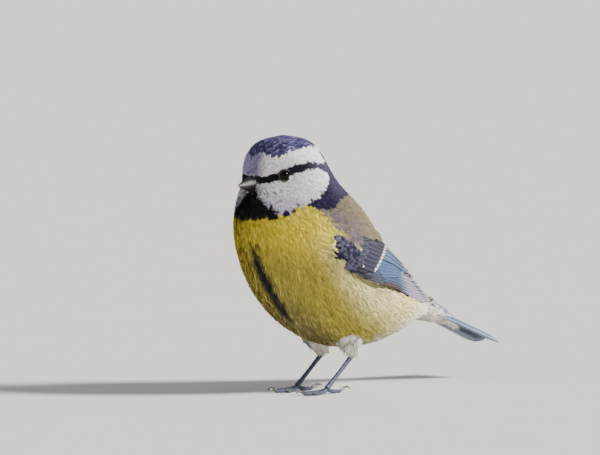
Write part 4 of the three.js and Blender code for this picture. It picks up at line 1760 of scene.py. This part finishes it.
@dataclass
class Wing:
    """A folded wing: its large feathers in rows, and the small coverts over its front."""

    form: WingForm
    side: int
    dyes: FlightDyes = field(default_factory=FlightDyes)
    thick: tuple[float, float] = (0.42, 0.16)
    tilt: float = 0.62
    ridge: float = 0.10
    outer: float = 0.42
    pale_share: float = 0.4

    def row_mesh(self, row: Row, name: str) -> bpy.types.Mesh:
        """The feathers of one row, as one mesh.

        Args:
            row: The row.
            name: The mesh's name.

        Returns:
            The mesh.
        """
        roots, tips = row.ends()
        rows, columns = row.shape.rows, len(ACROSS)
        y = np.linspace(0, 1, rows) ** 0.85
        shape = (row.count, rows, columns)
        along = np.broadcast_to(y[None, :, None], shape)
        x = np.broadcast_to(ACROSS[None, None], shape)
        share = np.broadcast_to(np.linspace(0, 1, row.count)[:, None, None], shape)
        u = roots[:, 0, None, None] + (tips[:, 0] - roots[:, 0])[:, None, None] * along
        swing = along**row.bow
        middle = roots[:, 1, None, None] + (tips[:, 1] - roots[:, 1])[:, None, None] * swing
        span = row.width * row.shape.width(y)[None, :, None] / self.form.chord(u.ravel()).reshape(shape)
        reach = np.where(x < 0, self.outer, 1 - self.outer) * x * span
        pull = 0.12 * np.abs(x) ** 1.5 * ramp(0.75, 1.0, along) * (tips[:, 0] - roots[:, 0])[:, None, None]
        v = np.clip(middle + reach, -0.015, 1.0)
        height = row.heights[0] + (row.heights[1] - row.heights[0]) * along - self.tilt / 2 * x
        ridge = self.ridge * bell(x, 0.06) * (1 - 0.6 * along)
        thick = self.thick[0] + (self.thick[1] - self.thick[0]) * along
        place = (u - pull).ravel(), v.ravel()
        tops = self.form.point(*place, (height + ridge).ravel()).reshape(*shape, 3)
        lows = self.form.point(*place, (height - thick).ravel()).reshape(*shape, 3)
        length = np.linalg.norm(np.diff(tops[:, :, 6], axis=1), axis=-1).sum(1)[:, None, None]
        vane = np.stack([x * row.width / 2 * row.shape.width(y)[None, :, None], along * length], -1)
        tint = self.dyes.pattern(row.name, x, along, share)
        tint = blend_to(tint, self.dyes.shaft, 0.55 * bell(x, 0.07))
        rng = np.random.default_rng(70 + row.count)
        tint = tint * (1 + 0.05 * rng.normal(0, 1, (row.count, 1, 1, 1)))
        tint = tint * (1 + 0.04 * rng.normal(0, 1, (*shape, 1)))
        return leaves_mesh(name, tops, lows, tint, vane, self.side)

    def small_coverts(self, rng: np.random.Generator) -> Tract:
        """The small coverts over the wing's front, like scales.

        Args:
            rng: Gives their unevenness.

        Returns:
            Their tract.
        """
        places = [
            (u + rng.normal(0, 0.004), v + rng.normal(0, 0.01))
            for row, u in enumerate(np.arange(-0.035, 0.125, 0.02))
            for v in np.arange(0.04 + 0.024 * (row % 2), 1.0, 0.048)
        ]
        u, v = np.array(places).T
        length = rng.normal(0.07, 0.006, len(u))
        spine, up = [], []
        for share in np.arange(STATIONS) / (STATIONS - 1):
            ahead = u + length * share
            top = self.form.top(ahead) - 0.55 * (1 - share) + 0.2 + 0.15 * share
            spine.append(mirrored(self.form.point(ahead, v, top), self.side))
            up.append(mirrored(self.form.normal(ahead, v), self.side))
        millimetres = np.linalg.norm(spine[-1] - spine[0], axis=1)
        pale = rng.random(len(u)) < self.pale_share
        colour = np.where(pale[:, None], self.dyes.covert_edge, self.dyes.covert)
        patch = np.stack([0.1 + 0.8 * v, 0.1 + 3 * (u + 0.05)], -1)
        return Tract(np.stack(spine, 1), np.stack(up, 1), millimetres, colour, patch, np.zeros(len(u)))

    def build(self, wardrobe: Wardrobe) -> None:
        """Makes the wing's pieces in place of its solid.

        Args:
            wardrobe: The finishes.
        """
        label = side_name(self.side)
        for row in WING_ROWS:
            name = f"{row.name}_{label}"
            piece = hang(name, self.row_mesh(row, name), wardrobe.vanes)
            if row.name == "primaries":
                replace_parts(piece, "wing_" + label)
        rng = np.random.default_rng(60)
        name = f"coat_small_coverts_{label}"
        mesh = self.small_coverts(rng).mesh(name, Cut(barbs=9, half=0.27, start=0.3, loose=0.5), rng)
        hang(name, mesh, wardrobe.plumage)


@dataclass
class Tail:
    """The closed tail: six pairs of feathers, the middle pair on top."""

    form: TailForm = field(default_factory=TailForm)
    dyes: FlightDyes = field(default_factory=FlightDyes)
    lengths: tuple[float, ...] = (40.2, 40.7, 41.0, 41.0, 40.7, 40.2)
    width: float = 6.0
    thick: float = 0.26
    first: float = 1.3
    spread: float = 0.8
    drop: float = 0.34
    tilt: float = 0.26
    pinch: float = 0.5
    left_lift: float = 0.18
    blue: Array = dyed(112, 128, 166)

    def build(self, wardrobe: Wardrobe) -> None:
        """Makes the tail in place of its solid.

        Args:
            wardrobe: The finishes.
        """
        rows, columns = BROAD.rows, len(ACROSS)
        pairs = len(self.lengths)
        pair = np.repeat(np.arange(pairs), 2)[:, None, None]
        side = np.tile([1, -1], pairs)[:, None, None]
        length = np.array(self.lengths)[pair[:, 0, 0]][:, None, None]
        y = np.linspace(0, 1, rows) ** 0.9
        shape = (2 * pairs, rows, columns)
        along = np.broadcast_to(y[None, :, None], shape)
        x = np.broadcast_to(ACROSS[None, None], shape)
        narrow = self.pinch + (1 - self.pinch) * along
        middle = (self.first + self.spread * pair) * side * narrow
        half = self.width / 2 * BROAD.width(y)[None, :, None] * narrow
        across = middle + x * half
        pull = 1.6 * np.abs(x) ** 2 * ramp(0.9, 1.0, along)
        height = -self.drop * pair + np.where(side > 0, self.left_lift, 0) - self.tilt * x * side
        ridge = 0.12 * bell(x, 0.06)
        tops = self.form.point(length * along - pull, across, height + ridge)
        lows = self.form.point(length * along - pull, across, height - self.thick)
        outward = x * side
        tint = blend_to(np.ones((*shape, 3)) * self.blue, self.dyes.blue, 0.5 * ramp(0.0, 0.9, outward))
        tint = blend_to(tint, self.dyes.dusky, 0.6 * ramp(0.1, 0.8, -outward))
        tint = blend_to(
            tint, self.dyes.white, ramp(0.55, 0.8, outward) * np.broadcast_to(pair == pairs - 1, shape)
        )
        tint = blend_to(tint, self.dyes.blue_pale, ramp(0.85, 0.97, outward) * 0.6)
        tint = blend_to(tint, self.dyes.shaft, 0.5 * bell(x, 0.07))
        vane = np.stack([x * half, along * length], -1)
        name = "tail_feathers"
        mesh = leaves_mesh(name, tops, lows, tint, vane, 1)
        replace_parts(hang(name, mesh, wardrobe.vanes), "tail")


# Head pieces


@dataclass
class Bill:
    """The short bill, its halves parted by the mouth line."""

    reach: float = 20.8
    root: float = 11.4
    z: float = 70.0
    pitch: float = math.radians(6)
    gap: float = 0.12
    nostril: Span = (0.40, 1.2)
    dark: Array = dyed(58, 52, 56)
    # Pale horn of the cutting edges, brightened to double as a painted highlight.
    pale: Array = dyed(236, 229, 228)
    brown: Array = dyed(58, 47, 44)

    def half(self, width: float, depth: float, upwards: int, short: float) -> tuple[Place, Callable]:
        """The place and paint of one half.

        Args:
            width: Its width at the root.
            depth: Its depth at the root.
            upwards: 1 for the upper half, -1 for the lower.
            short: How much shorter it is than the bill.

        Returns:
            Its place and its paint.
        """
        length = self.reach - self.root - short

        def place(angle: Array, t: Array) -> Array:
            """A rounded form, flat by the mouth line, with a ridge along its middle.

            Args:
                angle: Radians round it.
                t: The share of its length.

            Returns:
                Points in millimetres.
            """
            taper = (1 - t**1.7) ** 0.9 + 0.03 * (1 - t)
            x = np.cos(angle) * width / 2 * taper
            rise = np.sin(angle)
            ridge = 1 + 0.10 * bell(np.cos(angle), 0.3)
            z = np.where(rise > 0, rise * depth * taper * ridge, rise * 0.28 * taper)
            z = z - upwards * 0.35 * t**2
            if upwards > 0:
                pit = bell(t - self.nostril[0], 0.05) * bell(np.abs(x) - self.nostril[1], 0.28)
                x = x - np.sign(x) * 0.30 * pit * (rise > 0)
            y, z = -length * t, (z + self.gap / 2) * upwards
            cos, sin = math.cos(self.pitch), math.sin(self.pitch)
            y, z = NECK_Y - self.root + y * cos - z * sin, self.z + y * sin + z * cos
            return turned(np.stack([x, y, z], -1), 1.0)

        def paint(points: Array, angle: Array, t: Array) -> Array:
            """Dark along the ridge, pale towards the cutting edge, partly the horn's own pale edge and partly
            a painted highlight of the lit side.

            Args:
                points: Points in millimetres; not used.
                angle: Radians round it.
                t: The share of its length.

            Returns:
                Their colours.
            """
            rise = np.sin(angle)
            if upwards > 0:
                # Painted highlight, in part: the upper half's sides pale as though lit.
                colour = blend_to(coats(self.dark, t), self.pale, (1 - ramp(0.25, 0.8, rise)) * 0.9)
                # Painted shadow in the nostril's pit.
                nostril_shadow = bell(t - self.nostril[0], 0.06) * bell(rise - 0.55, 0.18)
                return blend_to(colour, self.dark * 0.3, nostril_shadow)
            return blend_to(coats(self.brown, t), self.pale, (1 - ramp(0.02, 0.22, rise)) * 0.45)

        return place, paint

    def build(self, wardrobe: Wardrobe) -> None:
        """Makes both halves.

        Args:
            wardrobe: The finishes.
        """
        for name, sizes in (("upper", (4.8, 2.9, 1, 0.0)), ("lower", (4.6, 3.5, -1, 0.4))):
            moulder = Moulder()
            moulder.wrap(40, 40, *self.half(*sizes))
            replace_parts(moulder.piece(f"bill_{name}_horn", wardrobe.horn, "bill_horn"), "bill_" + name)


@dataclass
class Eye:
    """An eye in its lids."""

    side: int
    radius: float = 2.0
    lid_radius: float = 1.9
    lid_thick: float = 0.24
    lid_lift: float = 1.15
    beads: int = 26
    iris: Array = dyed(34, 20, 13)
    pupil: Array = dyed(4, 4, 4)
    lid: Array = dyed(24, 19, 17)
    lid_pale: Array = dyed(78, 66, 58)

    def axes(self) -> tuple[Array, Array, Array, Array]:
        """The eye's centre, and the directions out of it, forward and up."""
        centre, away = eye_axis(self.side)
        up = unit(np.array([0, 0, 1.0]) - away * away[2])
        return centre, away, np.cross(up, away), up

    def paint_lid(self, points: Array, angle: Array, t: Array) -> Array:
        """Brown, paler on the top of each bead."""
        return blend_to(coats(self.lid, t), self.lid_pale, 0.5 + 0.5 * np.cos(TURN * self.beads * t))

    def build(self, wardrobe: Wardrobe) -> None:
        """Makes the eyeball and its ring of lids.

        Args:
            wardrobe: The finishes.
        """
        label = side_name(self.side)
        centre, away, forward, up = self.axes()

        def ball(angle: Array, t: Array) -> Array:
            """A ball with its poles at the back and at the middle of the pupil.

            Args:
                angle: Radians round it.
                t: The share of its length.

            Returns:
                Points in millimetres.
            """
            polar = math.pi * t
            ring = forward * np.cos(angle)[:, None] + up * np.sin(angle)[:, None]
            bulge = self.radius * (1 + 0.05 * bell(polar, 0.7))
            return centre + (away * np.cos(polar)[:, None] + ring * np.sin(polar)[:, None]) * bulge[:, None]

        def paint(points: Array, angle: Array, t: Array) -> Array:
            """A black pupil in a very dark brown iris."""
            return blend_to(coats(self.pupil, t), self.iris, ramp(0.24, 0.27, t))

        moulder = Moulder()
        moulder.wrap(48, 48, ball, paint)
        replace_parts(moulder.piece("eyeball_" + label, wardrobe.eye, "eye"), "eye_" + label)

        def ring(angle: Array, t: Array) -> Array:
            """A beaded ring, a little lower and longer than round, pointed at both corners.

            Args:
                angle: Radians round it.
                t: The share of its length.

            Returns:
                Points in millimetres.
            """
            turn = TURN * t
            beads = 1 + 0.2 * np.cos(turn * self.beads) * (0.4 + 0.6 * np.maximum(np.cos(angle), 0))
            thick = self.lid_thick * beads * (1 + 0.25 * np.abs(np.sin(turn)) ** 3)
            radius = self.lid_radius * (1 + 0.05 * np.abs(np.cos(turn)) ** 3 - 0.03 * np.abs(np.sin(turn)))
            middle = forward * np.cos(turn)[:, None] + up * np.sin(turn)[:, None]
            out = middle * (radius + np.cos(angle) * thick)[:, None]
            lift = self.lid_lift - 0.18 * np.abs(np.cos(turn)) ** 2 + np.sin(angle) * thick
            return centre + out + away * lift[:, None]

        moulder = Moulder()
        moulder.wrap(6 * self.beads, 16, ring, self.paint_lid, poles=False)
        moulder.piece("lids_" + label, wardrobe.lid, "plumage_blue")


# Legs


@dataclass(frozen=True)
class Toe:
    """A toe by its heading from straight ahead in degrees, its length, its claw and its joints."""

    name: str
    heading: float
    length: float
    claw: float
    joints: int


TOES = (
    Toe("inner", 24, 7.2, 3.6, 2),
    Toe("middle", 2, 9.8, 4.2, 3),
    Toe("outer", -17, 7.6, 3.6, 4),
    Toe("hind", 178, 6.6, 5.4, 1),
)


@dataclass
class Leg:
    """The bare part of a leg: a scaled tarsus, four toes and their claws."""

    side: int
    x: float = 7.0
    ankle: tuple[float, float] = (11.6, 12.3)
    foot: tuple[float, float] = (-0.6, 1.7)
    toe_radius: float = 0.675
    slate: Array = dyed(66, 74, 94)
    seam: Array = dyed(38, 42, 56)
    claw_dark: Array = dyed(48, 46, 52)
    claw_pale: Array = dyed(104, 98, 100)

    def along_toe(self, heading: float, along: Array, z: Array) -> Array:
        """Points over a toe's line on the floor.

        Args:
            heading: The toe's direction.
            along: Places along it.
            z: Their heights.

        Returns:
            Points in millimetres.
        """
        turn = math.radians(heading)
        x = self.x - math.sin(turn) * along
        return np.stack([x, self.foot[0] - math.cos(turn) * along, z], -1)

    def swept(self, path: Array, radius: Callable[[Array, Array], Array], flat: float = 1.0) -> Place:
        """A place function for a tube.

        Args:
            path: Points along its middle.
            radius: From angle and t to its radius. Angle pi/2 is its upper side.
            flat: Its width as a share of its depth.

        Returns:
            The place function.
        """

        def place(angle: Array, t: Array) -> Array:
            """The tube's surface on the bird's left or right, never under the floor.

            Args:
                angle: Radians round it.
                t: The share of its length.

            Returns:
                Points in millimetres.
            """
            middle = through(path, t)
            step = 0.01
            along = unit(through(path, np.minimum(t + step, 1)) - through(path, np.maximum(t - step, 0)))
            across = unit(np.cross(along, [0, 0, 1.0]))
            top = np.cross(across, along)
            r = radius(angle, t)
            points = middle + across * (np.cos(angle) * r * flat)[:, None]
            points += top * (np.sin(angle) * r)[:, None]
            points[:, 2] = np.maximum(points[:, 2], 0.0)
            return mirrored(points, self.side)

        return place

    def scaled(self, plates: int) -> Paint:
        """Paint for a scaled limb, with dark seams between its plates on the upper side.

        Args:
            plates: The number of plates.

        Returns:
            The paint.
        """

        def paint(points: Array, angle: Array, t: Array) -> Array:
            """Slate with dark seams.

            Args:
                points: Points in millimetres; not used.
                angle: Radians round it.
                t: The share of its length.

            Returns:
                Their colours.
            """
            phase = (t * plates) % 1.0
            seam = bell(np.minimum(phase, 1 - phase), 0.09) * ramp(-0.2, 0.3, np.sin(angle))
            return blend_to(coats(self.slate, t), self.seam, seam)

        return paint

    def build(self, wardrobe: Wardrobe) -> None:
        """Makes the leg in place of its solids.

        Args:
            wardrobe: The finishes.
        """
        label = side_name(self.side)
        moulder = Moulder()
        top = np.array([self.x, self.ankle[0] + 0.3, self.ankle[1] + 0.3])
        path = top + (np.array([self.x, *self.foot]) - top) * np.linspace(0, 1, 6)[:, None]

        def shank(angle: Array, t: Array) -> Array:
            """Plates down the front, each standing over the next.

            Args:
                angle: Radians round it.
                t: The share of its length.

            Returns:
                Millimetres.
            """
            radius = read(((0, 1.1), (0.2, 0.78), (0.5, 0.7), (0.8, 0.76), (1.0, 1.0)), t)
            plate = 0.07 * ((t * 8) % 1.0) * ramp(0.0, 0.6, np.sin(angle))
            ends = np.minimum(1, np.minimum(t, 1 - t) * 40 + 0.2)
            return (radius + plate) * ends

        moulder.wrap(96, 20, self.swept(path, shank, 0.85), self.scaled(8), (0, 0, 0.3, 1))
        for index, toe in enumerate(TOES):
            share = np.linspace(0, 1, toe.joints * 2 + 3)
            arch = self.foot[1] * (1 - share) ** 3 * 0.6
            line = self.along_toe(toe.heading, toe.length * share, self.toe_radius * 0.82 + arch)
            plates = 2 + 3 * toe.joints

            def finger(angle: Array, t: Array, toe: Toe = toe, plates: int = plates) -> Array:
                """Swollen pads at the joints below, and plates above.

                Args:
                    angle: Radians round it.
                    t: The share of its length.
                    toe: The toe.
                    plates: Its number of plates.

                Returns:
                    Millimetres.
                """
                pads = 1 + 0.12 * np.cos(t * (toe.joints + 1) * TURN) * ramp(0.2, -0.6, np.sin(angle))
                plate = 0.05 * ((t * plates) % 1.0) * ramp(0.0, 0.6, np.sin(angle))
                ends = np.sqrt(np.clip(np.minimum(t, 1 - t) * 14 + 0.05, 0, 1))
                return (self.toe_radius * (1.06 - 0.24 * t) * pads + plate) * ends

            box = (0.3 + 0.17 * index, 0, 0.46 + 0.17 * index, 1)
            moulder.wrap(plates * 10, 16, self.swept(line, finger), self.scaled(plates), box)
        piece = moulder.piece("leg_scales_" + label, wardrobe.scales, "leg_skin")
        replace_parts(piece, "tarsus_" + label, "foot_" + label)
        self.build_claws(wardrobe, label)

    def build_claws(self, wardrobe: Wardrobe, label: str) -> None:
        """Makes the four claws.

        Args:
            wardrobe: The finishes.
            label: The side's name.
        """
        moulder = Moulder()
        for index, toe in enumerate(TOES):
            share = np.linspace(0, 1, 7)
            rise = np.sin(math.pi * share * 0.8) * toe.claw * 0.24
            ahead = toe.length - 0.25 + (toe.claw * 0.86 + 0.55) * share
            line = self.along_toe(toe.heading, ahead, 0.62 + rise - 0.42 * share**2)

            def spike(angle: Array, t: Array) -> Array:
                """Stout at the root, drawn out to a sharp tip, grooved below."""
                groove = 1 - 0.12 * bell(np.sin(angle) + 1, 0.25)
                return (0.56 * np.maximum(1 - t, 0) ** 0.75 + 0.03) * groove * np.minimum(1, t * 20 + 0.3)

            def paint(points: Array, angle: Array, t: Array) -> Array:
                """Dark horn, paler along its sides near the root."""
                side = 0.5 * (1 - t) * np.abs(np.cos(angle))
                return blend_to(coats(self.claw_dark, t), self.claw_pale, side)

            box = (0.25 * index, 0, 0.25 * index + 0.24, 1)
            moulder.wrap(26, 14, self.swept(line, spike, 0.72), paint, box)
        nodes = [f"claw_{toe.name}_{label}" for toe in TOES]
        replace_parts(moulder.piece("claws_" + label, wardrobe.claw, "claw_horn"), *nodes)


# Studio


@dataclass
class Studio:
    """The camera, the light and the floor."""

    azimuth: float = math.radians(46)
    elevation: float = math.radians(4)
    distance: float = 2.4
    frame_width: float = 0.1967
    target: tuple[float, float] = (-4.26, 54.1)
    sensor: float = 36.0
    sky: tuple[float, ...] = (0.86, 0.88, 0.92, 1)
    sky_strength: float = 0.42
    ground: tuple[float, ...] = (0.74, 0.74, 0.72, 1.0)
    ground_size: float = 30.0

    def axes(self) -> tuple[Array, Array, Array]:
        """The camera's right, up and back."""
        a, e = self.azimuth, self.elevation
        back = np.array([math.sin(a) * math.cos(e), -math.cos(a) * math.cos(e), math.sin(e)])
        right = np.array([math.cos(a), math.sin(a), 0.0])
        return right, np.cross(back, right), back

    def sun(
        self, name: str, towards: Array, strength: float, angle: float, colour: tuple, shine: float
    ) -> None:
        """Adds a soft light.

        Args:
            name: Its name.
            towards: The direction that it comes from.
            strength: How bright it is.
            angle: How wide it is, in degrees.
            colour: Its colour.
            shine: Its share in highlights.
        """
        data = bpy.data.lights.new(name, "SUN")
        data.energy, data.angle, data.color = strength, math.radians(angle), colour
        data.specular_factor = shine
        lamp = bpy.data.objects.new(name, data)
        lamp.rotation_mode = "QUATERNION"
        lamp.rotation_quaternion = Vector(towards).to_track_quat("Z", "Y")
        bpy.context.scene.collection.objects.link(lamp)

    def build(self, wardrobe: Wardrobe) -> None:
        """Sets up the camera, the light and the floor.

        Args:
            wardrobe: The finishes.
        """
        right, up, back = self.axes()
        target = in_frame(right * self.target[0] + up * self.target[1])
        data = bpy.data.cameras.new("photo_view")
        data.sensor_width = self.sensor
        data.lens = self.sensor * self.distance / self.frame_width
        data.clip_end = 100.0
        camera = bpy.data.objects.new("photo_view", data)
        turn = Matrix((right, up, back)).transposed().to_4x4()
        camera.matrix_world = Matrix.Translation(Vector(target + back * self.distance)) @ turn
        bpy.context.scene.collection.objects.link(camera)
        bpy.context.scene.camera = camera

        self.sun("key", right * 0.88 + up * 0.60 + back * 0.24, 7.5, 12, (1.0, 0.96, 0.91), 1.0)
        self.sun("fill", right * -0.5 + up * 0.5 + back * 0.8, 0.35, 60, (0.9, 0.94, 1.0), 0.1)
        world = bpy.data.worlds.new("studio")
        world.use_nodes = True
        sky = world.node_tree.nodes["Background"].inputs
        sky["Color"].default_value = self.sky
        sky["Strength"].default_value = self.sky_strength
        bpy.context.scene.world = world

        made = bmesh.new()
        bmesh.ops.create_grid(made, x_segments=1, y_segments=1, size=self.ground_size)
        floor = bpy.data.meshes.new("floor")
        made.to_mesh(floor)
        made.free()
        tint = floor.color_attributes.new(TINT, "FLOAT_COLOR", "POINT")
        tint.data.foreach_set("color", np.tile(self.ground, len(floor.vertices)))
        floor.materials.append(wardrobe.floor)
        plane = bpy.data.objects.new("floor", floor)
        bpy.context.scene.collection.objects.link(plane)


def main() -> None:
    """Builds the studio and the bird, piece by piece."""
    logging.basicConfig(level=logging.INFO, format="%(name)s: %(message)s")
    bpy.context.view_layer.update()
    wardrobe = Wardrobe()
    Studio().build(wardrobe)
    body, wing, markings = BodyForm(), WingForm(), Markings()
    coat = BodyCoat(body, WingCover(wing), markings)
    thighs = [Thigh(side, markings.palette) for side in (1, -1)]
    Skin(body, markings, coat, wing).build(wardrobe, thighs)
    coat.build(wardrobe)
    for thigh in thighs:
        thigh.build(wardrobe)
    for side in (1, -1):
        Wing(wing, side).build(wardrobe)
        Eye(side).build(wardrobe)
        Leg(side).build(wardrobe)
    Tail().build(wardrobe)
    Bill().build(wardrobe)


if __name__ == "__main__":
    main()
